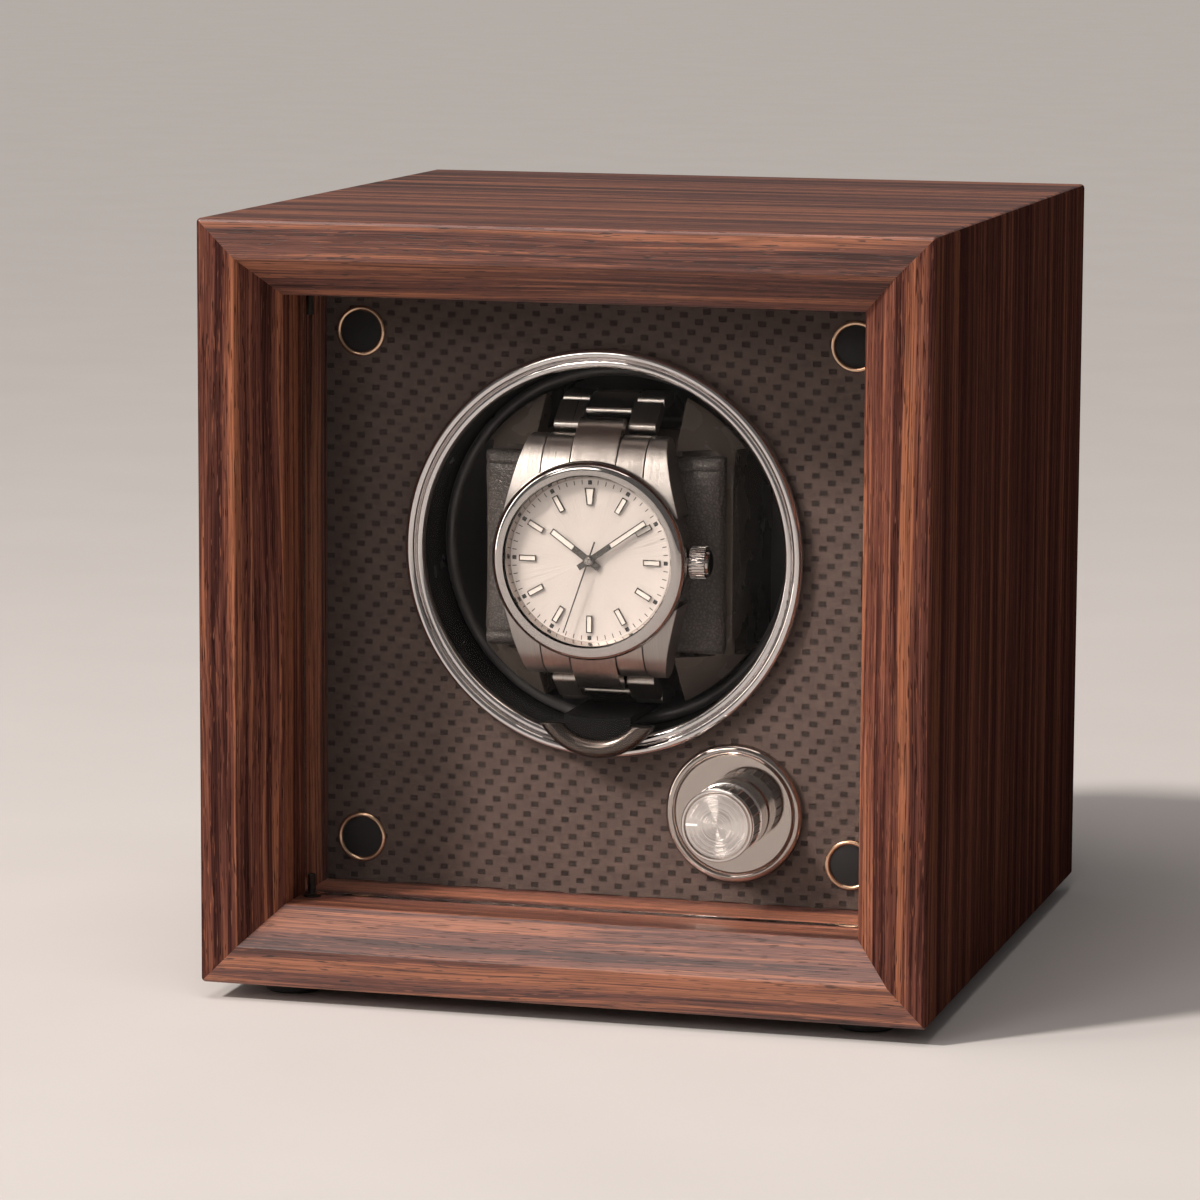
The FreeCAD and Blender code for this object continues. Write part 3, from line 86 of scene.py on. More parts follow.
EASE = 0.25 * MM
WEFT_FLOAT = 1.63 * MM
PICK = 0.70 * MM
BINDING_STEP = 5
BINDING_REPEAT = 8
CELL_WIDER = 1.04
CELL_TALLER = 1.72
PIT_EDGE = 0.10 * MM
PIT_DEEP = 0.10 * MM
CLOTH_HOLE_R = 39.6 * MM
CLOTH_THICK = 0.3 * MM
KNOB_HOLE_R = 7 * MM
CAP_HOLE_R = 3 * MM
PAD_SHRINK = (0.985, 0.86, 0.98, 1)
PAD_SWELL = 0.7 * MM
PAD_CLEAR = 0.02 * MM
SWELL_FRAMES = 20
SEAM_HALF = 0.45 * MM
SEAM_DEEP = 0.55 * MM
HOUR_ANGLE = -54.0
MINUTE_ANGLE = 55.0
SECONDS_ANGLE = 199.0
DIAL_RAYS = 90
MARKER_W = 1.2 * MM
MARKER_L = 3.5 * MM
MARKER_OUT = 14.7 * MM
MARKER_THICK = 0.42 * MM
TWELVE_WIDER = 1.75
FRAME_W = 0.17 * MM
FRAME_DEEP = 0.07 * MM
HAND_TAIL = 2.6 * MM
HUB_R = 1.15 * MM
HUB_HOLE_R = 0.44 * MM
SECONDS_HUB_R = 0.8 * MM
NEEDLE_HALF = 0.17 * MM
NEEDLE_TAIL = 4.2 * MM
NEEDLE_LONG = 15.6 * MM
NEEDLE_TAPER = 0.6
FLANGE_R = 17.38 * MM
FLANGE_INNER_R = 16.55 * MM
BARREL_INNER_R = 17.4 * MM
CASE_R = 19.8 * MM
BRACELET_HALF = 10.7 * MM
LINK_SPLIT = 4.85 * MM
LINK_GAP = 0.11 * MM
LUG_GAP = 0.05 * MM
END_LINK_REACH = 23.45 * MM
END_LINK_BACK = -44 * MM
LUG_INNER_R = 18.6 * MM
LUG_ROOT_X = 19.0 * MM
LUG_TIP_X = 14.4 * MM
LUG_FLANK_X = 13 * MM
LUG_START_Z = 6 * MM
LUG_RUN = 18.6 * MM
LIP_H = 6.9 * MM
LIP_R = 13.8 * MM
LIP_RIM_R = 1.95 * MM
LIP_RIM_DEEP = 1.9 * MM
SCOOP_DEEP = 2.3 * MM
SCREW_R = 2.8 * MM
CROSS_LONG = 1.7 * MM
CROSS_HALF = 0.32 * MM
CROSS_DEEP = 1.0 * MM
SEAM_IN = 3.4 * MM
KNOB_R = 7.4 * MM
KNOB_PANELS = 24
KNOB_COLUMNS = 4
PANEL_RIB = 0.16 * MM
PANEL_DEEP = 0.26 * MM
CROWN_FLUTES = 28
FLUTE_EDGE = 0.05 * MM
FLUTE_DEEP = 0.24 * MM


# Bench tools

def clear_bench():
    """Leaves edit mode and lets go of everything that is selected."""
    if bpy.context.object is not None and bpy.context.object.mode != "OBJECT":
        bpy.ops.object.mode_set(mode="OBJECT")
    bpy.ops.object.select_all(action="DESELECT")


def hold(piece):
    clear_bench()
    piece.select_set(True)
    bpy.context.view_layer.objects.active = piece


def take(name):
    """Names the primitive on the bench and puts its place into its mesh."""
    piece = bpy.context.object
    piece.name = name
    piece.data.name = name
    bpy.ops.object.transform_apply(location=True, rotation=True, scale=True)
    return piece


@contextmanager
def editing(piece, mode="FACE"):
    hold(piece)
    bpy.ops.object.mode_set(mode="EDIT")
    bpy.ops.mesh.select_mode(type=mode)
    bpy.ops.mesh.select_all(action="DESELECT")
    yield
    bpy.ops.object.mode_set(mode="OBJECT")


def pick(piece, kind, test):
    """Selects the verts, edges or faces that pass a test, and nothing else."""
    bpy.ops.mesh.select_all(action="DESELECT")
    mesh = bmesh.from_edit_mesh(piece.data)
    for part in getattr(mesh, kind):
        if test(part):
            part.select_set(True)
    mesh.select_flush_mode()
    bmesh.update_edit_mesh(piece.data)


def middle_of(face):
    return face.calc_center_median()


def modify(piece, kind, **settings):
    """Adds a modifier and applies it."""
    hold(piece)
    modifier = piece.modifiers.new(kind.lower(), kind)
    for key, value in settings.items():
        setattr(modifier, key, value)
    bpy.ops.object.modifier_apply(modifier=modifier.name)


def soften(piece, width, segments=2, angle=32):
    """Rounds the sharp edges and smooths the shading between them."""
    modify(piece, "BEVEL", width=width, segments=segments, limit_method="ANGLE",
           angle_limit=math.radians(angle), use_clamp_overlap=True, miter_outer="MITER_ARC")
    smooth(piece)
    modify(piece, "WEIGHTED_NORMAL", keep_sharp=True, weight=100)


def smooth(piece, angle=32):
    hold(piece)
    bpy.ops.object.shade_smooth_by_angle(angle=math.radians(angle))


def closed(piece):
    """Merges doubles and turns the faces outwards."""
    with editing(piece):
        bpy.ops.mesh.select_all(action="SELECT")
        bpy.ops.mesh.remove_doubles(threshold=0.001 * MM)
        bpy.ops.mesh.normals_make_consistent(inside=False)


def copy_of(node, name):
    """A new piece from a frame node's mesh, merged and cleared of needless edges."""
    piece = bpy.data.objects.new(name, NODES[node].data.copy())
    bpy.context.scene.collection.objects.link(piece)
    piece.data.materials.clear()
    hold(piece)
    bpy.ops.mesh.customdata_custom_splitnormals_clear()
    with editing(piece):
        bpy.ops.mesh.select_all(action="SELECT")
        bpy.ops.mesh.remove_doubles(threshold=0.002 * MM)
        bpy.ops.mesh.dissolve_limited(angle_limit=math.radians(0.4))
    return piece


def turn(piece, degrees, centre=DRUM):
    """Turns a piece clockwise, seen from the front, about a line along Y."""
    there = Matrix.Translation(centre)
    piece.data.transform(there @ Matrix.Rotation(math.radians(degrees), 4, "Y") @ there.inverted())
    return piece


def turned(name, outline, centre, steps=96):
    """Turns an outline of (radius, y) points about the line along Y through a centre."""
    clear_bench()
    bpy.ops.mesh.primitive_plane_add(size=MM, location=(centre.x + outline[0][0], outline[0][1], centre.z))
    piece = take(name)
    with editing(piece, "VERT"):
        bpy.ops.mesh.select_all(action="SELECT")
        bpy.ops.mesh.merge(type="CENTER")
        for (r0, y0), (r1, y1) in zip(outline, outline[1:]):
            bpy.ops.mesh.extrude_vertices_move(TRANSFORM_OT_translate={"value": (r1 - r0, y1 - y0, 0)})
        bpy.ops.mesh.select_all(action="SELECT")
        bpy.ops.mesh.spin(steps=steps, angle=math.tau, center=(centre.x, 0, centre.z), axis=(0, 1, 0))
    closed(piece)
    return piece


def block(name, low, high):
    """A cuboid between two corners."""
    low = Vector(low)
    high = Vector(high)
    clear_bench()
    bpy.ops.mesh.primitive_cube_add(size=1, location=(low + high) / 2)
    bpy.context.object.scale = high - low
    return take(name)


def fit(piece, node, finish):
    """Puts a finish on a piece and lets it ride and stand for a frame node."""
    kinds = [face.material_index for face in piece.data.polygons]
    piece.data.materials.clear()
    for one in finish if isinstance(finish, (list, tuple)) else [finish]:
        piece.data.materials.append(one)
    for face, kind in zip(piece.data.polygons, kinds):
        face.material_index = min(kind, len(piece.data.materials) - 1)
    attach(piece, BODY_OF[node])
    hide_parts(node)
    return piece


# Shader tools

class Shade:
    """A shader value; sums, products and comparisons of it add Math nodes."""

    def __init__(self, finish, socket):
        self.finish = finish
        self.socket = socket

    def __add__(self, other):
        return self.finish.math("ADD", self, other)

    __radd__ = __add__

    def __sub__(self, other):
        return self.finish.math("SUBTRACT", self, other)

    def __rsub__(self, other):
        return self.finish.math("SUBTRACT", other, self)

    def __mul__(self, other):
        return self.finish.math("MULTIPLY", self, other)

    __rmul__ = __mul__

    def __truediv__(self, other):
        return self.finish.math("DIVIDE", self, other)

    def __gt__(self, other):
        return self.finish.math("GREATER_THAN", self, other)

    def __lt__(self, other):
        return self.finish.math("LESS_THAN", self, other)

    def __abs__(self):
        return self.finish.math("ABSOLUTE", self)


class Finish:
    """A material that grows node by node around one Principled shader."""

    def __init__(self, name, **plain):
        self.material = bpy.data.materials.new(name)
        self.material.use_nodes = True
        self.tree = self.material.node_tree
        self.tree.nodes.clear()
        self.shader = self.node("BsdfPrincipled", {}, {}, "BSDF")
        self.output = self.tree.nodes.new("ShaderNodeOutputMaterial")
        self.tree.links.new(self.shader.socket, self.output.inputs["Surface"])
        self.set(**plain)

    def node(self, kind, settings, sockets, out=0):
        """Adds a node, sets it, feeds its sockets and gives back one of its outputs."""
        node = self.tree.nodes.new("ShaderNode" + kind)
        for key, value in settings.items():
            if key == "stops":
                self.set_stops(node.color_ramp, value)
            else:
                setattr(node, key, value)
        for key, value in sockets.items():
            self.feed(node.inputs[key], value)
        return Shade(self, node.outputs[out])

    def feed(self, entry, value):
        if isinstance(value, Shade):
            self.tree.links.new(value.socket, entry)
        elif entry.type == "RGBA":
            entry.default_value = (*value[:3], 1.0)
        else:
            entry.default_value = value

    @staticmethod
    def set_stops(ramp, stops):
        while len(ramp.elements) < len(stops):
            ramp.elements.new(1.0)
        for element, (place, colour) in zip(ramp.elements, stops):
            element.position = place
            element.color = (*colour, 1.0)

    def set(self, **sockets):
        """Feeds the Principled shader; an underscore stands for a space."""
        for key, value in sockets.items():
            self.feed(self.shader.socket.node.inputs[key.replace("_", " ")], value)

    def math(self, operation, *values):
        return self.node("Math", {"operation": operation}, dict(enumerate(values)))

    def vector(self, operation, *values, out="Vector"):
        return self.node("VectorMath", {"operation": operation}, dict(enumerate(values)), out)

    def place(self, size=(1, 1, 1), centre=(0, 0, 0)):
        """Object coordinates from a centre, counted in pattern sizes."""
        where = self.node("TexCoord", {}, {}, "Object")
        return self.node("Mapping", {"vector_type": "TEXTURE"},
                         {"Vector": where, "Location": centre, "Scale": size})

    def noise(self, place, detail=2.0, rough=0.5, out="Fac"):
        sockets = {"Vector": place, "Scale": 1.0, "Detail": detail, "Roughness": rough}
        return self.node("TexNoise", {}, sockets, out)

    def cell_edges(self, place):
        """Distance to the nearest edge between irregular cells."""
        sockets = {"Vector": place, "Scale": 1.0}
        return self.node("TexVoronoi", {"feature": "DISTANCE_TO_EDGE"}, sockets, "Distance")

    def ramp(self, value, stops):
        return self.node("ValToRGB", {"stops": stops}, {"Fac": value}, "Color")

    def band(self, value, low, high):
        """Runs smoothly from 0 to 1 between two values."""
        return self.node("MapRange", {"interpolation_type": "SMOOTHSTEP"},
                         {"Value": value, "From Min": low, "From Max": high})

    def mix(self, share, one, other, how="MIX"):
        return self.node("Mix", {"data_type": "RGBA", "blend_type": how}, {0: share, 6: one, 7: other}, 2)

    def bump(self, height, deep, strength=1.0):
        return self.node("Bump", {}, {"Height": height, "Distance": deep, "Strength": strength})

    def leaning(self, direction, amount):
        """The surface normal, leaned along a direction of the piece."""
        turning = {"vector_type": "VECTOR", "convert_from": "OBJECT", "convert_to": "WORLD"}
        along = self.node("VectorTransform", turning, {"Vector": direction})
        lean = self.node("VectorMath", {"operation": "SCALE"}, {0: along, "Scale": amount}, "Vector")
        normal = self.node("NewGeometry", {}, {}, "Normal")
        return self.vector("NORMALIZE", self.vector("ADD", normal, lean))

    def axes(self, place):
        split = self.node("SeparateXYZ", {}, {"Vector": place}, "X").socket.node
        return [Shade(self, split.outputs[axis]) for axis in "XYZ"]


# Finishes

def grained(along, long, across):
    """Pattern sizes stretched along one axis."""
    size = [across] * 3
    size[along] = long
    return tuple(size)


def toned(colour, share):
    """A colour made darker or lighter."""
    return tuple(share * part for part in colour)


def even(size):
    """The same pattern size along every axis."""
    return (size, size, size)


def striped_wood(name, along, dark, mid, warm, sheen, shade=1.0):
    """Wood with dark and warm stripes, fibres, open pores and pale flecks; its outer side can be given
    painted shade, a darker brown.
    """
    f = Finish(name, Specular_IOR_Level=sheen)
    waver = f.noise(f.place(grained(along, 90 * MM, 22 * MM)), detail=1.0, out="Color")
    sway = f.vector("MULTIPLY", f.vector("SUBTRACT", waver, (0.5, 0.5, 0.5)), even(3 * MM))
    where = f.vector("ADD", f.place(), sway)
    broad = f.noise(f.vector("DIVIDE", where, grained(along, 260 * MM, 5.5 * MM)), detail=1.5, rough=0.5)
    narrow = f.noise(f.vector("DIVIDE", where, grained(along, 120 * MM, 1.15 * MM)), detail=2.5, rough=0.65)
    fibre = f.noise(f.vector("DIVIDE", where, grained(along, 22 * MM, 0.22 * MM)), detail=2.0, rough=0.6)
    pore = f.noise(f.vector("DIVIDE", where, grained(along, 4.2 * MM, 0.26 * MM)), detail=1.0, rough=0.4)
    stripe = f.band(broad * 0.5 + narrow * 0.5, 0.395, 0.615)
    tone = stripe * 0.8 + fibre * 0.2
    colour = f.ramp(tone, [(0.12, dark), (0.42, mid), (0.60, mid), (0.86, warm)])
    lines = f.band(fibre, 0.34, 0.62) * 0.52 + 0.62
    grey = f.node("CombineColor", {}, {"Red": lines, "Green": lines, "Blue": lines})
    colour = f.mix(1.0, colour, grey, "MULTIPLY")
    open_pore = f.band(pore, 0.63, 0.70)
    colour = f.mix(open_pore * 0.75, colour, toned(dark, 0.35))
    fleck = f.noise(f.vector("DIVIDE", where, grained(along, 5 * MM, 0.3 * MM)), detail=1.0, rough=0.4)
    colour = f.mix(f.band(fleck, 0.66, 0.72) * 0.35, colour, toned(warm, 1.3))
    # Painted shade: the outer side faces are mixed towards a darker brown.
    if shade < 1.0:
        x = f.axes(f.place())[0]
        outer_side_shade_mask = f.band(abs(x), CASE_SIDE - 0.9 * MM, CASE_SIDE - 0.3 * MM)
        colour = f.mix(outer_side_shade_mask * (1 - shade), colour, toned(dark, 0.7))
    height = fibre * 0.35 - open_pore * 1.0 + narrow * 0.25
    f.set(Base_Color=colour, Roughness=fibre * 0.22 + 0.26 + open_pore * 0.2,
          Normal=f.bump(height, 0.05 * MM, 0.55))
    return f.material


def bare_wood(name, along, colour):
    """Unfinished timber or board inside the case."""
    f = Finish(name)
    fibre = f.noise(f.place(grained(along, 30 * MM, 0.5 * MM)), detail=3.0, rough=0.6)
    tone = f.ramp(fibre, [(0.3, toned(colour, 0.6)), (0.7, colour)])
    f.set(Base_Color=tone, Roughness=fibre * 0.2 + 0.6, Normal=f.bump(fibre, 0.06 * MM, 0.5))
    return f.material


def polished(name, colour, rough, smear):
    """Polished metal with faint wiping marks."""
    f = Finish(name, Metallic=1.0, Base_Color=colour)
    marks = f.noise(f.place(even(6 * MM)), detail=4.0, rough=0.65)
    f.set(Roughness=marks * smear + rough)
    return f.material


def brushed(name, colour, along, rough=0.26, depth=0.012 * MM):
    """Metal with fine lines along one axis, made of long scratches of several widths."""
    f = Finish(name, Metallic=1.0)
    lines = f.noise(f.place(grained(along, 14 * MM, 0.11 * MM)), detail=3.0, rough=0.7)
    hair = f.noise(f.place(grained(along, 5 * MM, 0.035 * MM)), detail=1.0)
    tone = f.ramp(lines, [(0.25, toned(colour, 0.72)), (0.7, colour)])
    f.set(Base_Color=tone, Roughness=lines * 0.16 + rough, Normal=f.bump(lines + hair, depth, 0.5))
    return f.material


def satin_steel(name, colour, rough=0.24, lean=0.5):
    """Watch steel brushed along the bracelet: its fine lines lean the surface to either side."""
    f = Finish(name, Metallic=1.0)
    line = f.noise(f.place((0.09 * MM, 60 * MM, 60 * MM)), detail=2.0, rough=0.7)
    broad = f.noise(f.place((0.6 * MM, 30 * MM, 30 * MM)), detail=2.0)
    tone = f.ramp(line * 0.8 + broad * 0.2, [(0.36, toned(colour, 0.80)), (0.62, colour)])
    normal = f.leaning((1, 0, 0), (line - 0.5) * lean)
    f.set(Base_Color=tone, Roughness=broad * 0.05 + rough, Normal=normal)
    return f.material


def lathe_metal(name, colour, centre, rough=0.22, lean=0.5):
    """Metal turned in a lathe: rings too fine to see lean the surface towards and away from the centre."""
    f = Finish(name, Metallic=1.0)
    spot = f.place(centre=tuple(centre))
    spoke = f.vector("MULTIPLY", spot, (1, 0, 1))
    reach = f.vector("LENGTH", spoke, out="Value")
    ring = f.noise(f.node("CombineXYZ", {}, {"X": reach / (0.10 * MM)}), detail=2.0, rough=0.7)
    wide = f.noise(f.node("CombineXYZ", {}, {"X": reach / (0.45 * MM)}), detail=1.0)
    normal = f.leaning(f.vector("NORMALIZE", spoke), (ring - 0.5) * lean)
    tone = f.ramp(wide, [(0.3, toned(colour, 0.95)), (0.7, colour)])
    f.set(Base_Color=tone, Roughness=wide * 0.03 + rough, Normal=normal)
    return f.material


def moulded(name, colour, rough=0.42, grain=0.35 * MM, depth=0.02 * MM, **more):
    """Moulded plastic with a fine spark texture and slight wear of its gloss."""
    f = Finish(name, **more)
    spark = f.noise(f.place(even(grain)), detail=2.0)
    cloud = f.noise(f.place(even(9 * MM)), detail=3.0)
    tone = f.ramp(cloud, [(0.3, toned(colour, 0.82)), (0.7, colour)])
    f.set(Base_Color=tone, Roughness=cloud * 0.14 + rough - 0.07)
    if depth > 0:
        f.set(Normal=f.bump(spark, depth, 0.5))
    return f.material


def rubber(name, colour):
    f = Finish(name)
    grain = f.noise(f.place(even(0.5 * MM)), detail=3.0, rough=0.7)
    dust = f.noise(f.place(even(7 * MM)), detail=3.0)
    tone = f.ramp(dust, [(0.35, colour), (0.75, tuple(1.6 * c + 0.01 for c in colour))])
    f.set(Base_Color=tone, Roughness=grain * 0.2 + 0.66, Normal=f.bump(grain, 0.05 * MM, 0.5))
    return f.material


def clear_glass(name, tint, ior):
    """Glass that lets lamps through to what is behind it."""
    f = Finish(name, Base_Color=tint, Transmission_Weight=1.0, IOR=ior)
    film = f.noise(f.place(even(18 * MM)), detail=3.0)
    f.set(Roughness=f.band(film, 0.45, 0.9) * 0.02)
    lamp = f.node("LightPath", {}, {}, "Is Shadow Ray")
    through = f.node("BsdfTransparent", {}, {"Color": tint})
    either = f.node("MixShader", {}, {0: lamp, 1: f.shader, 2: through})
    f.tree.links.new(either.socket, f.output.inputs["Surface"])
    return f.material


def weave_cloth(name, ground, deep):
    """Matt woven cloth: fine threads across the floats, with painted shade down in the pits."""
    f = Finish(name, Specular_IOR_Level=0.2)
    y = f.axes(f.place())[1]
    threads = f.noise(f.place((1.7 * MM, 1.0 * MM, 0.30 * MM)), detail=2.0, rough=0.6)
    warp = f.noise(f.place((0.32 * MM, 1.0 * MM, 1.2 * MM)), detail=2.0, rough=0.6)
    slub = f.noise(f.place((9 * MM, 9 * MM, 3 * MM)), detail=2.0)
    # Painted shade: the pits take the darker deep colour.
    pit_shade_share = f.band(y, FASCIA_Y + 0.02 * MM, FASCIA_Y + PIT_DEEP * 0.9)
    mixed = threads * 0.45 + warp * 0.3 + slub * 0.25
    tone = f.ramp(mixed, [(0.34, toned(ground, 0.5)), (0.64, ground)])
    colour = f.mix(pit_shade_share, tone, deep)
    f.set(Base_Color=colour, Roughness=threads * 0.15 + 0.72, Normal=f.bump(threads + warp, 0.08 * MM, 0.6))
    return f.material


def leather(name, colour):
    """Leatherette with a pebbled grain."""
    f = Finish(name)
    bend = f.noise(f.place(even(2.5 * MM)), detail=2.0, out="Color")
    where = f.vector("ADD", f.place(even(0.75 * MM)), bend)
    crease = f.cell_edges(where)
    pebble = f.band(crease, 0.0, 0.28)
    fine = f.noise(f.place(even(0.22 * MM)), detail=2.0)
    # Painted shade: the creases between the pebbles are darker.
    tone = f.mix(pebble, toned(colour, 0.45), colour)
    f.set(Base_Color=tone, Roughness=0.62 - pebble * 0.16,
          Normal=f.bump(pebble + fine * 0.3, 0.09 * MM, 0.7))
    return f.material


def sunray_dial(name, colour, ink):
    """Cream dial brushed outwards from its centre, with a printed minute track."""
    f = Finish(name, Metallic=0.25, Coat_Weight=0.12, Coat_Roughness=0.15)
    spot = f.place(centre=tuple(DRUM))
    x, _, z = f.axes(spot)
    reach = f.math("SQRT", x * x + z * z)
    angle = f.math("ARCTAN2", x, z) / math.tau
    round_x = f.math("SINE", angle * math.tau) * DIAL_RAYS
    round_y = f.math("COSINE", angle * math.tau) * DIAL_RAYS
    ray = f.noise(f.node("CombineXYZ", {}, {"X": round_x, "Y": round_y}), detail=2.0, rough=0.7)
    across = f.vector("NORMALIZE", f.vector("CROSS_PRODUCT", spot, (0, 1, 0)))
    normal = f.leaning(across, (ray - 0.5) * 0.9)

    def printed(count, half, low, high):
        step = f.math("FRACT", angle * count + count + 0.5) - 0.5
        aside = abs(step) * reach * (math.tau / count)
        return (aside < half) * (reach > low) * (reach < high)

    ticks = printed(60, 0.09 * MM, 15.4 * MM, 16.3 * MM)
    squares = printed(12, 0.42 * MM, 15.35 * MM, 16.2 * MM)
    track = f.math("MAXIMUM", ticks, squares)
    tone = f.ramp(ray, [(0.25, toned(colour, 0.93)), (0.75, colour)])
    f.set(Base_Color=f.mix(track, tone, ink), Roughness=ray * 0.1 + 0.36, Normal=normal)
    return f.material


def circuit_green(name, colour):
    """Solder mask over copper runs."""
    f = Finish(name, Coat_Weight=0.3)
    runs = f.cell_edges(f.place(even(3.2 * MM)))
    line = 1 - f.band(runs, 0.04, 0.09)
    f.set(Base_Color=f.mix(line, colour, toned(colour, 1.7)), Roughness=0.4 - line * 0.1,
          Normal=f.bump(line, 0.03 * MM, 0.6))
    return f.material


WOOD_DARK = (0.050, 0.019, 0.016)
WOOD_MID = (0.136, 0.051, 0.037)
WOOD_WARM = (0.310, 0.119, 0.066)

FINISHES = {
    "wood_across": striped_wood("striped wood across", 0, WOOD_DARK, WOOD_MID, WOOD_WARM, sheen=0.55),
    # The upright boards get painted shade on their outer sides.
    "wood_upright": striped_wood("striped wood upright", 2, WOOD_DARK, WOOD_MID, WOOD_WARM, sheen=0.0,
                                 shade=0.38),
    "inner_wood": bare_wood("bare timber", 2, (0.30, 0.20, 0.12)),
    "rear_board": striped_wood("stained rear board", 2, (0.018, 0.010, 0.009), (0.035, 0.018, 0.014),
                               (0.06, 0.03, 0.02), sheen=0.1),
    "fibre_board": bare_wood("fibre board", 0, (0.16, 0.10, 0.06)),
    "zinc_steel": brushed("zinc plate", (0.58, 0.57, 0.54), 0, 0.32),
    "foot_rubber": rubber("foot rubber", (0.018, 0.018, 0.018)),
    # The weave's second colour is painted shade for its pits.
    "weave": weave_cloth("taupe weave", (0.096, 0.065, 0.055), (0.027, 0.018, 0.015)),
    "cap_black": moulded("black cap", (0.013, 0.012, 0.012), 0.6, Specular_IOR_Level=0.15),
    "ring_brass": polished("pale brass", (0.64, 0.43, 0.29), 0.16, 0.1),
    "bezel_chrome": polished("ring chrome", (0.68, 0.64, 0.63), 0.05, 0.05),
    "housing_black": moulded("black housing", (0.012, 0.011, 0.011), 0.25, depth=0),
    "plate_steel": brushed("rolled steel", (0.50, 0.50, 0.50), 2, 0.34),
    "bush_bronze": brushed("sintered bronze", (0.50, 0.32, 0.17), 1, 0.42),
    "motor_steel": brushed("motor can", (0.48, 0.48, 0.50), 1, 0.36),
    "belt_rubber": rubber("belt rubber", (0.022, 0.022, 0.022)),
    "switch_plastic": moulded("switch plastic", (0.035, 0.035, 0.04)),
    "rosette_mirror": polished("rosette mirror", (0.47, 0.405, 0.37), 0.03, 0.05),
    "circuit_board": circuit_green("circuit board", (0.02, 0.11, 0.05)),
    "part_black": moulded("component black", (0.02, 0.02, 0.02)),
    "pillar_nylon": moulded("pale nylon", (0.62, 0.60, 0.54), 0.5),
    "inlet_black": moulded("inlet black", (0.016, 0.016, 0.016), 0.4),
    "lead_jacket": rubber("lead jacket", (0.03, 0.03, 0.03)),
    "clear_pane": clear_glass("clear pane", (0.97, 0.98, 0.98), 1.11),
    "pin_steel": brushed("ground pin", (0.62, 0.62, 0.61), 1, 0.24),
    "cup_grey": moulded("cup grey", (0.055, 0.050, 0.049), 0.30, depth=0),
    "pulley_black": moulded("pulley black", (0.025, 0.025, 0.025)),
    "holder_black": moulded("holder black", (0.120, 0.094, 0.078), 0.27, grain=0.3 * MM, depth=0.03 * MM),
    "pad_leather": leather("pad leatherette", (0.066, 0.053, 0.047)),
    "lip_gunmetal": polished("gunmetal", (0.115, 0.093, 0.082), 0.2, 0.08),
    "watch_steel": satin_steel("brushed case", (0.42, 0.378, 0.352), 0.33),
    "watch_polish": polished("polished steel", (0.53, 0.485, 0.46), 0.05, 0.05),
    "crystal": clear_glass("watch crystal", (0.985, 0.985, 0.985), 1.22),
    "dial_cream": sunray_dial("cream dial", (0.52, 0.46, 0.425), (0.02, 0.018, 0.016)),
    "marker_steel": polished("marker frame", (0.13, 0.115, 0.105), 0.22, 0.1),
    "hand_steel": polished("hand steel", (0.17, 0.155, 0.145), 0.2, 0.1),
    "link_outer": satin_steel("brushed outer link", (0.60, 0.54, 0.50), 0.26),
    "link_centre": satin_steel("brushed centre link", (0.54, 0.485, 0.45), 0.22),
    "pulley_brass": lathe_metal("turned brass", (0.68, 0.49, 0.22), centre_of("motor_pulley")),
    "knob_side": polished("knob side", (0.70, 0.65, 0.62), 0.14, 0.06),
    "knob_spun": lathe_metal("spun cap", (0.80, 0.735, 0.70), KNOB, rough=0.14, lean=4.0),
}


def inlay(name, colour):
    """Pale enamel let into a frame."""
    f = Finish(name)
    cloud = f.noise(f.place(even(0.8 * MM)), detail=2.0)
    tone = f.ramp(cloud, [(0.3, toned(colour, 0.92)), (0.7, colour)])
    f.set(Base_Color=tone, Roughness=cloud * 0.1 + 0.4)
    return f.material


PALE_INLAY = inlay("pale inlay", (0.60, 0.54, 0.49))
POINTER_WHITE = inlay("pointer enamel", (0.88, 0.85, 0.80))
BLACKED_STEEL = brushed("blacked steel", (0.05, 0.042, 0.038), 2, 0.4)
KNOB_PANEL = brushed("knob panel", (0.11, 0.10, 0.095), 1, 0.26)
# The scoop is painted near-black: painted shade in its hollow.
SCOOP_SHADE = moulded("scoop painted shade", (0.005, 0.0045, 0.0045), 0.6, Specular_IOR_Level=0.06)

for node, part in NODES.items():
    part.data.materials.clear()
    part.data.materials.append(FINISHES[SLOT_OF[node]])
for node in ("door_pins", "door_bushes", "door_strike"):
    NODES[node].data.materials[0] = BLACKED_STEEL


# Case

def eased(node, name, width, segments=2, angle=32):
    """A copy of a frame node with softened edges."""
    piece = copy_of(node, name)
    soften(piece, width, segments, angle)
    return fit(piece, node, FINISHES[SLOT_OF[node]])


def eased_case():
    """The four mitred boards, each with a fine ease on its edges, so the mitres show as thin lines."""
    for node in ("case_top", "case_bottom", "case_left", "case_right"):
        eased(node, node + "_board", EASE)


# Fascia

def spread_cells(cloth):
    """Widens the picked cells over their neighbours."""
    mesh = bmesh.from_edit_mesh(cloth.data)
    for face in mesh.faces:
        if face.select:
            spot = middle_of(face)
            for vert in face.verts:
                vert.co.x = spot.x + (vert.co.x - spot.x) * CELL_WIDER
                vert.co.z = spot.z + (vert.co.z - spot.z) * CELL_TALLER
    bmesh.update_edit_mesh(cloth.data)


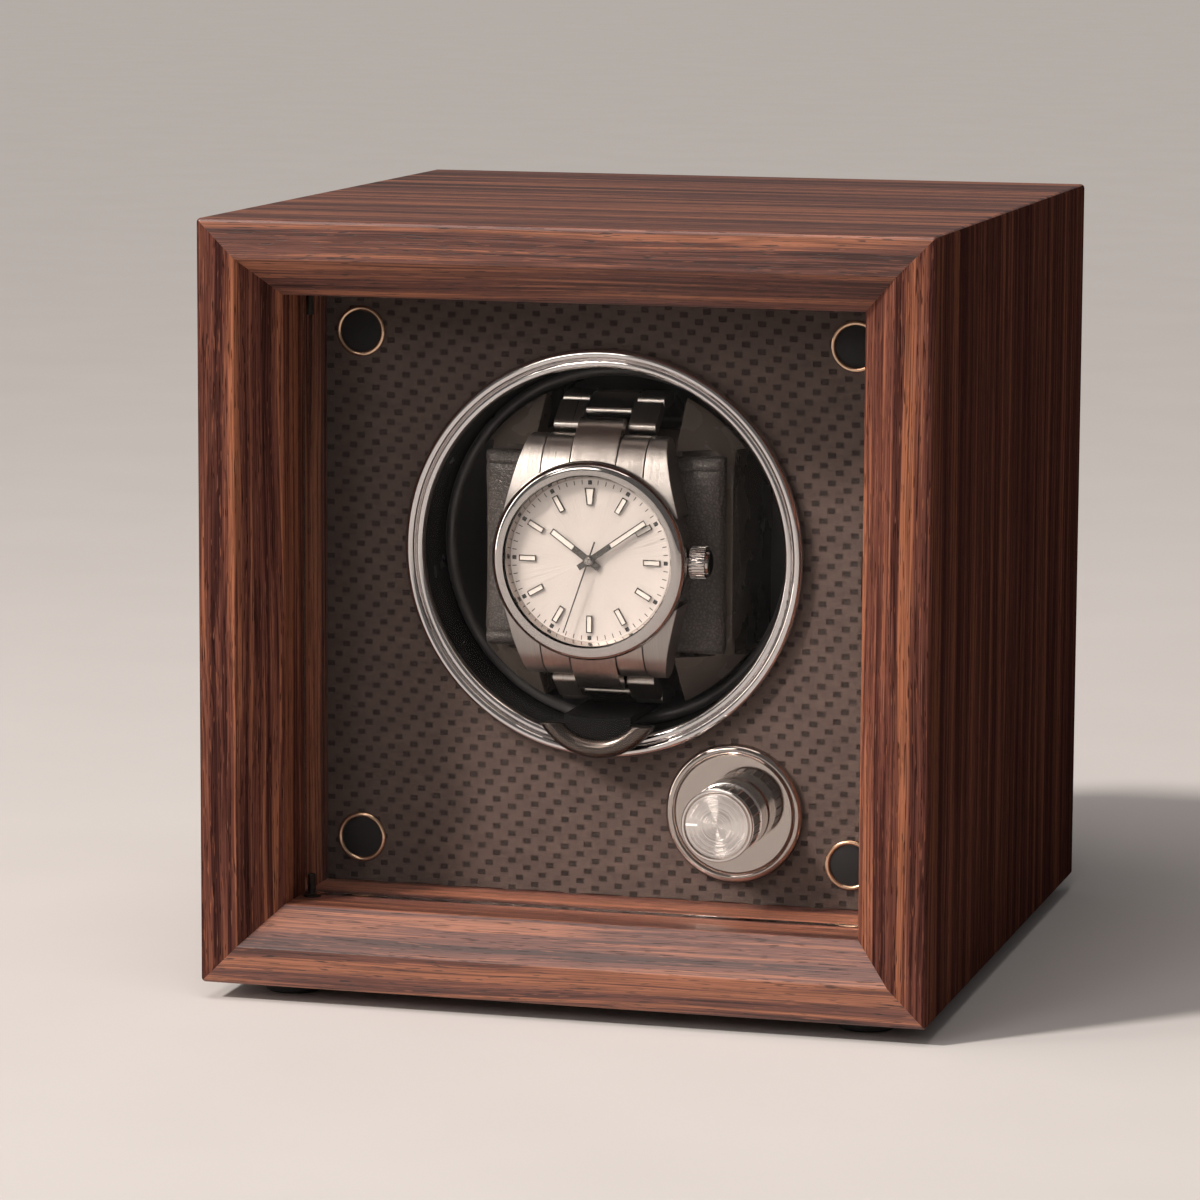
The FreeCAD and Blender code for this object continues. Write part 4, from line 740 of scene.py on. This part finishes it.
def woven_fascia():
    """Satin weave stretched over the board: every eighth cell of a row binds, and lies lower."""
    low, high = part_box("fascia_cloth")
    wide = high.x - low.x
    tall = high.z - low.z
    columns = round(wide / WEFT_FLOAT)
    rows = round(tall / PICK)
    clear_bench()
    bpy.ops.mesh.primitive_grid_add(x_subdivisions=columns, y_subdivisions=rows, size=1,
                                    location=(0, low.y, (low.z + high.z) / 2), rotation=(math.pi / 2, 0, 0))
    bpy.context.object.scale = (wide, tall, 1)
    cloth = take("woven_fascia")
    cap_spots = [Vector((x, 0, z)) for x in (-CAP_X, CAP_X) for z in CAP_Z]

    def in_hole(face):
        spot = middle_of(face)
        spot.y = 0
        near_cap = any((spot - cap).length < CAP_HOLE_R for cap in cap_spots)
        near_knob = (spot - Vector((KNOB.x, 0, KNOB.z))).length < KNOB_HOLE_R
        near_drum = (spot - Vector((DRUM.x, 0, DRUM.z))).length < CLOTH_HOLE_R
        return near_cap or near_knob or near_drum

    def binds(face):
        spot = middle_of(face)
        column = int((spot.x - low.x) / wide * columns)
        row = int((spot.z - low.z) / tall * rows)
        return (BINDING_STEP * column + row) % BINDING_REPEAT == 0

    with editing(cloth):
        pick(cloth, "faces", in_hole)
        bpy.ops.mesh.delete(type="FACE")
        pick(cloth, "faces", binds)
        spread_cells(cloth)
        bpy.ops.mesh.inset(thickness=PIT_EDGE, depth=-PIT_DEEP, use_individual=True)
    modify(cloth, "SOLIDIFY", thickness=CLOTH_THICK, offset=-1)
    fit(cloth, "fascia_cloth", FINISHES["weave"])


# Holder

def stuffed_pad():
    """Leatherette pad: the cover swells a little over its filling and is drawn in at two seams."""
    low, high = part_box("holder_pad")
    middle = (low + high) / 2
    pad = copy_of("holder_pad", "pad_cover")
    there = Matrix.Translation(middle)
    pad.data.transform(there @ Matrix.Diagonal(PAD_SHRINK) @ there.inverted())
    modify(pad, "REMESH", mode="VOXEL", voxel_size=1.0 * MM)
    start = [vert.co.copy() for vert in pad.data.vertices]
    swell(pad)
    for vert, first in zip(pad.data.vertices, start):
        move = vert.co - first
        if move.length > PAD_SWELL:
            vert.co = first + move * (PAD_SWELL / move.length)
    modify(pad, "SUBSURF", levels=1, render_levels=1)
    for vert in pad.data.vertices:
        for seam in (low.z + SEAM_IN, high.z - SEAM_IN):
            near = math.exp(-((vert.co.z - seam) / SEAM_HALF) ** 2)
            if vert.co.y < middle.y:
                vert.co.y += SEAM_DEEP * near
        for axis in range(3):
            vert.co[axis] = min(max(vert.co[axis], low[axis] + PAD_CLEAR), high[axis] - PAD_CLEAR)
    smooth(pad, 60)
    fit(pad, "holder_pad", FINISHES["pad_leather"])


def swell(piece):
    """Blows a closed cover up against its own stiffness."""
    hold(piece)
    modifier = piece.modifiers.new("cover", "CLOTH")
    settings = modifier.settings
    settings.quality = 6
    settings.mass = 0.2
    settings.tension_stiffness = 30
    settings.compression_stiffness = 30
    settings.bending_stiffness = 1.0
    settings.use_pressure = True
    settings.uniform_pressure_force = 4
    settings.effector_weights.gravity = 0
    modifier.point_cache.frame_start = 1
    modifier.point_cache.frame_end = SWELL_FRAMES
    for moment in range(1, SWELL_FRAMES + 1):
        bpy.context.scene.frame_set(moment)
    bpy.ops.object.modifier_apply(modifier=modifier.name)
    bpy.context.scene.frame_set(1)


def scooped_lip():
    """Half-moon pull: a round gunmetal rim along its lower edge, in front of a scoop on the tongue that is
    painted near-black as shade.
    """
    low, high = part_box("pull_lip")
    floor = low.y + SCOOP_DEEP
    scoop = copy_of("pull_lip", "pull_lip_scoop")
    for vert in scoop.data.vertices:
        vert.co.y = max(vert.co.y, floor)
    with editing(scoop):
        bpy.ops.mesh.select_all(action="SELECT")
        bpy.ops.mesh.remove_doubles(threshold=0.01 * MM)
        bpy.ops.mesh.dissolve_degenerate(threshold=0.01 * MM)
    soften(scoop, 0.2 * MM, 2, 40)
    # The scoop faces take the painted shade finish.
    fit(scoop, "pull_lip", SCOOP_SHADE)
    middle = Vector((0, low.y + LIP_RIM_DEEP, low.z + LIP_R))
    clear_bench()
    bpy.ops.mesh.primitive_torus_add(location=middle, rotation=(math.pi / 2, 0, 0), major_segments=128,
                                     minor_segments=32, major_radius=LIP_R - LIP_RIM_R,
                                     minor_radius=LIP_RIM_R)
    bpy.context.object.scale = (1, 1, LIP_RIM_DEEP / LIP_RIM_R)
    rim = take("pull_lip_rim")
    with editing(rim):
        bpy.ops.mesh.select_all(action="SELECT")
        bpy.ops.mesh.bisect(plane_co=(0, 0, low.z + LIP_H), plane_no=(0, 0, 1), use_fill=True,
                            clear_outer=True)
    soften(rim, 0.5 * MM, 4, 50)
    fit(rim, "pull_lip", FINISHES["lip_gunmetal"])


# Watch

def tongue_line(side):
    """Points (y, z) of the middle part of an end link, which reaches further out than the lugs."""
    over = [(-55.1, 17.8), (-54.3, 19.6), (-52.9, 22.0), (-51.1, 24.3), (-49.2, 26.2),
            (-47.5, 27.5), (-46.4, 27.8)]
    under = [(-45.8, 27.0), (-46.8, 25.2), (-48.4, 22.0), (-49.4, 17.8)]
    return [(y * MM, DRUM.z + side * z * MM) for y, z in over + under]


def lug_line(side):
    """Points (y, z) over the top of a lug from under the bezel to its tip and back beneath."""
    over = [(-56.2, 9.0), (-56.0, 13.0), (-55.45, 16.5), (-54.3, 19.6), (-52.6, 22.2),
            (-50.4, 24.0), (-48.0, 24.6)]
    under = [(-46.2, 24.1), (-45.6, 22.8), (-46.6, 20.0), (-47.4, 15.0), (-47.6, 9.0)]
    return [(y * MM, DRUM.z + side * z * MM) for y, z in over + under]


def lug_strip(name, side, x0, x1, line):
    """A strip of the curved shoulder between two places across it."""
    clear_bench()
    bpy.ops.mesh.primitive_plane_add(size=MM, location=(x0, *line[0]))
    strip = take(name)
    with editing(strip, "VERT"):
        bpy.ops.mesh.select_all(action="SELECT")
        bpy.ops.mesh.merge(type="CENTER")
        for (y0, z0), (y1, z1) in zip(line, line[1:] + line[:1]):
            bpy.ops.mesh.extrude_vertices_move(TRANSFORM_OT_translate={"value": (0, y1 - y0, z1 - z0)})
        bpy.ops.mesh.select_all(action="SELECT")
        bpy.ops.mesh.remove_doubles(threshold=0.001 * MM)
        bpy.ops.mesh.edge_face_add()
        bpy.ops.mesh.extrude_region_move(TRANSFORM_OT_translate={"value": (x1 - x0, 0, 0)})
    for vert in strip.data.vertices:
        clear = math.sqrt(max(LUG_INNER_R ** 2 - vert.co.x ** 2, 0))
        vert.co.z = DRUM.z + side * max(side * (vert.co.z - DRUM.z), clear)
    closed(strip)
    return strip


def watch_head():
    """Barrel with four curved lugs and the three-part end links between them."""
    rear = front_of("case_back")
    front = back_of("watch_bezel")
    outer = CASE_R
    outline = [(BARREL_INNER_R, front), (outer - 0.3 * MM, front), (outer, front + 0.3 * MM),
               (outer, rear - 0.6 * MM), (outer - 0.6 * MM, rear), (BARREL_INNER_R, rear),
               (BARREL_INNER_R, front)]
    barrel = turned("watch_barrel", outline, DRUM, 128)
    smooth(barrel)
    fit(barrel, "watch_case", FINISHES["watch_polish"])
    split = BRACELET_HALF + LUG_GAP
    for side, end in ((1, "upper"), (-1, "lower")):
        for hand, flank in ((-1, "left"), (1, "right")):
            lug = lug_strip(f"{end}_{flank}_lug", side, hand * split, hand * LUG_ROOT_X, lug_line(side))
            for vert in lug.data.vertices:
                if abs(vert.co.x) > LUG_FLANK_X:
                    reach = (abs(vert.co.z - DRUM.z) - LUG_START_Z) / LUG_RUN
                    vert.co.x = hand * (LUG_ROOT_X + (LUG_TIP_X - LUG_ROOT_X) * reach)
            soften(lug, 0.45 * MM, 3)
            fit(lug, "watch_case", FINISHES["watch_steel"])
        for n, (x0, x1) in enumerate(((-BRACELET_HALF, -LINK_SPLIT), (-LINK_SPLIT, LINK_SPLIT),
                                      (LINK_SPLIT, BRACELET_HALF))):
            link = lug_strip(f"{end}_end_link_{n + 1}", side, x0 + LINK_GAP, x1 - LINK_GAP,
                             tongue_line(side) if n == 1 else lug_line(side))
            soften(link, 0.12 * MM)
            fit(link, "bracelet_outer_links", FINISHES["link_centre" if n == 1 else "link_outer"])


def bracelet():
    """Links with softened edges; the end links are made with the watch's head."""
    def of_end_link(face):
        spot = middle_of(face)
        return abs(spot.z - DRUM.z) < END_LINK_REACH and spot.y < END_LINK_BACK

    outer = copy_of("bracelet_outer_links", "outer_link_rows")
    with editing(outer):
        pick(outer, "faces", of_end_link)
        bpy.ops.mesh.delete(type="FACE")
    soften(outer, 0.16 * MM)
    fit(outer, "bracelet_outer_links", FINISHES["link_outer"])
    eased("bracelet_centre_links", "centre_link_row", 0.16 * MM)
    eased("bracelet_clasp", "clasp_cover", 0.2 * MM)


def dial_work():
    """Inner flange of the case, and twelve framed markers."""
    rim = back_of("watch_crystal")
    outline = [(FLANGE_R, DIAL_Y), (FLANGE_INNER_R, DIAL_Y),
               (FLANGE_INNER_R + 0.05 * MM, DIAL_Y - 0.15 * MM), (FLANGE_R - 0.18 * MM, rim),
               (FLANGE_R, rim), (FLANGE_R, DIAL_Y)]
    flange = turned("dial_flange", outline, DRUM, 160)
    smooth(flange)
    fit(flange, "watch_case", FINISHES["watch_polish"])
    for n in range(12):
        marker = framed_bar(f"hour_marker_{n + 1}", MARKER_W, MARKER_OUT - MARKER_L, MARKER_OUT, DIAL_Y,
                            MARKER_THICK)
        if n == 0:
            for vert in marker.data.vertices:
                if vert.co.z - DRUM.z > MARKER_OUT - MARKER_L / 2:
                    vert.co.x *= TWELVE_WIDER
        turn(marker, 30 * n)
        fit(marker, "hour_markers", [FINISHES["marker_steel"], PALE_INLAY])


def framed_bar(name, width, start, stop, back, thick, inlay_from=None):
    """A flat bar pointing at twelve, with a pale field let into its face."""
    bar = block(name, (-width / 2, back - thick, DRUM.z + start), (width / 2, back, DRUM.z + stop))
    front = back - thick
    if inlay_from is not None:
        with editing(bar):
            bpy.ops.mesh.select_all(action="SELECT")
            bpy.ops.mesh.bisect(plane_co=(0, 0, DRUM.z + inlay_from), plane_no=(0, 0, 1))
    with editing(bar):
        middle = start if inlay_from is None else inlay_from
        pick(bar, "faces", lambda face: face.normal.y < -0.9 and middle_of(face).z > DRUM.z + middle)
        bpy.ops.mesh.inset(thickness=FRAME_W, depth=0, use_individual=True)
        bpy.ops.mesh.inset(thickness=0.02 * MM, depth=-FRAME_DEEP, use_individual=True)

    def sunk(face):
        return face.normal.y < -0.9, face.center.y > front + FRAME_DEEP / 2, face.area

    field = max(bar.data.polygons, key=sunk)
    bar.data.materials.append(None)
    bar.data.materials.append(None)
    field.material_index = 1
    return bar


def hands():
    """Baton hands: a steel root, a pale field in the outer half, a short tail and a round hub."""
    batons = (("hour_hand", HOUR_ANGLE, 1.35 * MM, 9.7 * MM, 4.0 * MM),
              ("minute_hand", MINUTE_ANGLE, 1.2 * MM, 14.3 * MM, 5.4 * MM))
    for node, angle, width, length, inlay_from in batons:
        back = back_of(node)
        thick = back - front_of(node)
        blade = framed_bar(node + "_blade", width, -HAND_TAIL, length, back, thick, inlay_from)
        turn(blade, angle)
        fit(blade, node, [FINISHES["hand_steel"], PALE_INLAY])
        hub = turned(node + "_hub", hub_outline(HUB_R, back, thick), DRUM, 40)
        smooth(hub)
        fit(hub, node, FINISHES["hand_steel"])
    back = back_of("seconds_hand")
    thick = back - front_of("seconds_hand")
    needle = block("seconds_hand_needle", (-NEEDLE_HALF, back - thick, DRUM.z - NEEDLE_TAIL),
                   (NEEDLE_HALF, back, DRUM.z + NEEDLE_LONG))
    for vert in needle.data.vertices:
        if vert.co.z > DRUM.z:
            vert.co.x *= NEEDLE_TAPER
    turn(needle, SECONDS_ANGLE)
    fit(needle, "seconds_hand", FINISHES["hand_steel"])
    hub = turned("seconds_hand_hub", hub_outline(SECONDS_HUB_R, back, thick), DRUM, 40)
    smooth(hub)
    fit(hub, "seconds_hand", FINISHES["watch_polish"])


def hub_outline(radius, back, thick):
    front = back - thick - 0.06 * MM
    return [(HUB_HOLE_R, back), (radius, back), (radius, front + 0.1 * MM), (radius - 0.12 * MM, front),
            (0.56 * MM, front), (HUB_HOLE_R, front + 0.1 * MM), (HUB_HOLE_R, back)]


def fluted_crown():
    """Winding crown with square flutes and a domed end."""
    low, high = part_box("winding_crown")
    radius = (high.z - low.z) / 2
    long = high.x - low.x
    body = long * 0.80
    clear_bench()
    bpy.ops.mesh.primitive_cylinder_add(vertices=2 * CROWN_FLUTES, radius=radius, depth=body,
                                        location=(low.x + body / 2, CROWN.y, CROWN.z),
                                        rotation=(0, math.pi / 2, 0))
    crown = take("fluted_crown")
    step = math.tau / (2 * CROWN_FLUTES)

    def grooved(face):
        if abs(face.normal.x) > 0.5:
            return False
        spot = middle_of(face)
        return round(math.atan2(spot.z - CROWN.z, spot.y - CROWN.y) / step - 0.5) % 2 == 0

    with editing(crown):
        pick(crown, "faces", grooved)
        bpy.ops.mesh.inset(thickness=FLUTE_EDGE, depth=-FLUTE_DEEP, use_individual=True)
        pick(crown, "faces", lambda face: face.normal.x > 0.9 and middle_of(face).x > low.x + body * 0.9)
        bpy.ops.mesh.inset(thickness=0.5 * MM, depth=0.1 * MM)
        bpy.ops.mesh.inset(thickness=0.25 * MM, depth=0.5 * MM)
        bpy.ops.mesh.inset(thickness=0.9 * MM, depth=long - body - 0.6 * MM)
        pick(crown, "faces", lambda face: face.normal.x < -0.9 and middle_of(face).x < low.x + body * 0.1)
        bpy.ops.mesh.inset(thickness=0.4 * MM, depth=0)
    soften(crown, 0.06 * MM, 2, 25)
    fit(crown, "winding_crown", FINISHES["watch_polish"])


# Knob

def panelled_knob():
    """Knob with a bright lip, a ring of sunk panels between thin ribs and a plain collar behind."""
    front = front_of("knob_body")
    rear = back_of("knob_body")
    seat = front + 0.8 * MM
    cavity = front_of("panel_nuts") - 0.4 * MM
    r = KNOB_R
    groove = r - 0.28 * MM
    band_front = front + 1.15 * MM
    band_rear = front + 7.4 * MM
    lip = [(0, seat), (r - 0.6 * MM, seat), (r - 0.6 * MM, front + 0.12 * MM), (r - 0.5 * MM, front),
           (r - 0.16 * MM, front), (r, front + 0.16 * MM), (r, front + 0.62 * MM),
           (groove, front + 0.68 * MM)]
    band = [(groove, band_front - 0.1 * MM), (r, band_front), (r, band_rear),
            (groove, band_rear + 0.08 * MM)]
    collar = [(groove, band_rear + 0.42 * MM), (r, band_rear + 0.5 * MM), (r, rear - 0.35 * MM),
              (r - 0.35 * MM, rear), (r - 1.3 * MM, rear), (r - 1.3 * MM, cavity), (0, cavity)]
    columns = KNOB_PANELS * KNOB_COLUMNS
    knob = turned("panelled_knob", lip + band + collar, KNOB, columns)

    def panel_at(face):
        spot = middle_of(face)
        out = math.hypot(spot.x - KNOB.x, spot.z - KNOB.z)
        if not band_front < spot.y < band_rear or out < r - 0.1 * MM:
            return None
        angle = math.atan2(spot.x - KNOB.x, spot.z - KNOB.z) % math.tau
        return int(angle / math.tau * columns) // KNOB_COLUMNS

    with editing(knob):
        for turn_of in (0, 1):
            pick(knob, "faces", lambda face: panel_at(face) is not None and panel_at(face) % 2 == turn_of)
            bpy.ops.mesh.inset(thickness=PANEL_RIB, depth=-PANEL_DEEP, use_individual=False)
    smooth(knob, 25)
    knob.data.materials.append(None)
    knob.data.materials.append(None)
    for face in knob.data.polygons:
        out = math.hypot(face.center.x - KNOB.x, face.center.z - KNOB.z)
        if band_front < face.center.y < band_rear and r - 0.4 * MM < out < r - 0.2 * MM:
            face.material_index = 1
    fit(knob, "knob_body", [FINISHES["knob_side"], KNOB_PANEL])
    tip = front_of("knob_cap")
    back = back_of("knob_cap")
    disc = KNOB_R - 0.66 * MM
    outline = [(0, tip), (disc - 0.3 * MM, tip), (disc, tip + 0.3 * MM), (disc, back), (0, back)]
    cap = turned("spun_cap", outline, KNOB, 160)
    smooth(cap)
    fit(cap, "knob_cap", FINISHES["knob_spun"])
    pointer = block("pointer_line", (KNOB.x - disc + 0.3 * MM, tip - 0.03 * MM, KNOB.z - 0.22 * MM),
                    (KNOB.x - disc + 2.7 * MM, tip + 0.2 * MM, KNOB.z + 0.22 * MM))
    soften(pointer, 0.03 * MM, 1)
    fit(pointer, "knob_cap", POINTER_WHITE)


# Back

def crossed_screws():
    """Countersunk screws of the rear panel, each with a cross recess."""
    low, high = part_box("rear_screws")
    screws = copy_of("rear_screws", "crossed_rear_screws")
    for x in (low.x + SCREW_R, high.x - SCREW_R):
        for z in (low.z + SCREW_R, high.z - SCREW_R):
            for wide, tall in ((CROSS_LONG, CROSS_HALF), (CROSS_HALF, CROSS_LONG)):
                slot = block("slot", (x - wide, high.y - CROSS_DEEP, z - tall),
                             (x + wide, high.y + MM, z + tall))
                modify(screws, "BOOLEAN", operation="DIFFERENCE", object=slot, solver="EXACT")
                bpy.data.objects.remove(slot)
    soften(screws, 0.1 * MM)
    fit(screws, "rear_screws", FINISHES["zinc_steel"])


# Stage

def stage():
    clear_bench()
    bpy.ops.mesh.primitive_plane_add(size=80)
    floor = take("studio_floor")
    pale = Finish("studio floor", Roughness=0.9, Specular_IOR_Level=0.15)
    speck = pale.noise(pale.place(even(60 * MM)), detail=3.0)
    pale.set(Base_Color=pale.ramp(speck, [(0.3, (0.63, 0.62, 0.61)), (0.7, (0.65, 0.64, 0.63))]))
    floor.data.materials.append(pale.material)

    world = bpy.data.worlds.new("studio")
    world.use_nodes = True
    sky = world.node_tree.nodes["Background"].inputs
    sky["Color"].default_value = (1.0, 0.96, 0.94, 1)
    sky["Strength"].default_value = 0.14
    bpy.context.scene.world = world

    def lamp(name, kind, spot, aim, energy, colour, **more):
        data = bpy.data.lights.new(name, kind)
        data.energy = energy
        data.color = colour
        for key, value in more.items():
            setattr(data, key, value)
        light = bpy.data.objects.new(name, data)
        light.location = spot
        light.rotation_euler = (Vector(aim) - Vector(spot)).to_track_quat("-Z", "Y").to_euler()
        bpy.context.scene.collection.objects.link(light)

    middle = (0, 0, 0.08)
    lamp("key", "SUN", spot=(-1.1, -1.04, 1.38), aim=middle, energy=2.85, colour=(1.0, 0.91, 0.84),
         angle=math.radians(6))
    lamp("front softbox", "AREA", spot=(-0.45, -1.25, 0.62), aim=middle, energy=2.4,
         colour=(1.0, 0.92, 0.86), shape="RECTANGLE", size=0.36, size_y=0.36)
    lamp("left strip", "AREA", spot=(-0.85, -0.55, 0.35), aim=middle, energy=2.2, colour=(1.0, 0.93, 0.88),
         shape="RECTANGLE", size=0.16, size_y=0.8)
    lamp("overhead", "AREA", spot=(-0.1, -0.28, 1.0), aim=middle, energy=4.6, colour=(1.0, 0.87, 0.82),
         shape="RECTANGLE", size=0.8, size_y=0.5)

    camera = bpy.data.objects.new("camera", bpy.data.cameras.new("camera"))
    camera.data.lens = 153.52
    camera.data.sensor_width = 36
    camera.data.clip_start = 0.01
    camera.data.clip_end = 120
    camera.location = (0.27294, -1.03719, 0.23348)
    camera.rotation_euler = (math.radians(81.5276), math.radians(-0.2771), math.radians(15.4762))
    bpy.context.scene.collection.objects.link(camera)
    bpy.context.scene.camera = camera
    bpy.context.scene.view_settings.view_transform = "Standard"


eased_case()
eased("rear_panel", "rear_panel_board", 0.3 * MM)
eased("door_pane", "door_glass", 0.2 * MM)
woven_fascia()
eased("holder_cheeks", "holder_shoulders", 1.1 * MM, 4)
stuffed_pad()
scooped_lip()
watch_head()
bracelet()
dial_work()
hands()
fluted_crown()
panelled_knob()
eased("feet", "rubber_feet", 0.5 * MM, 3)
eased("power_inlet", "power_socket", 0.18 * MM)
crossed_screws()
stage()
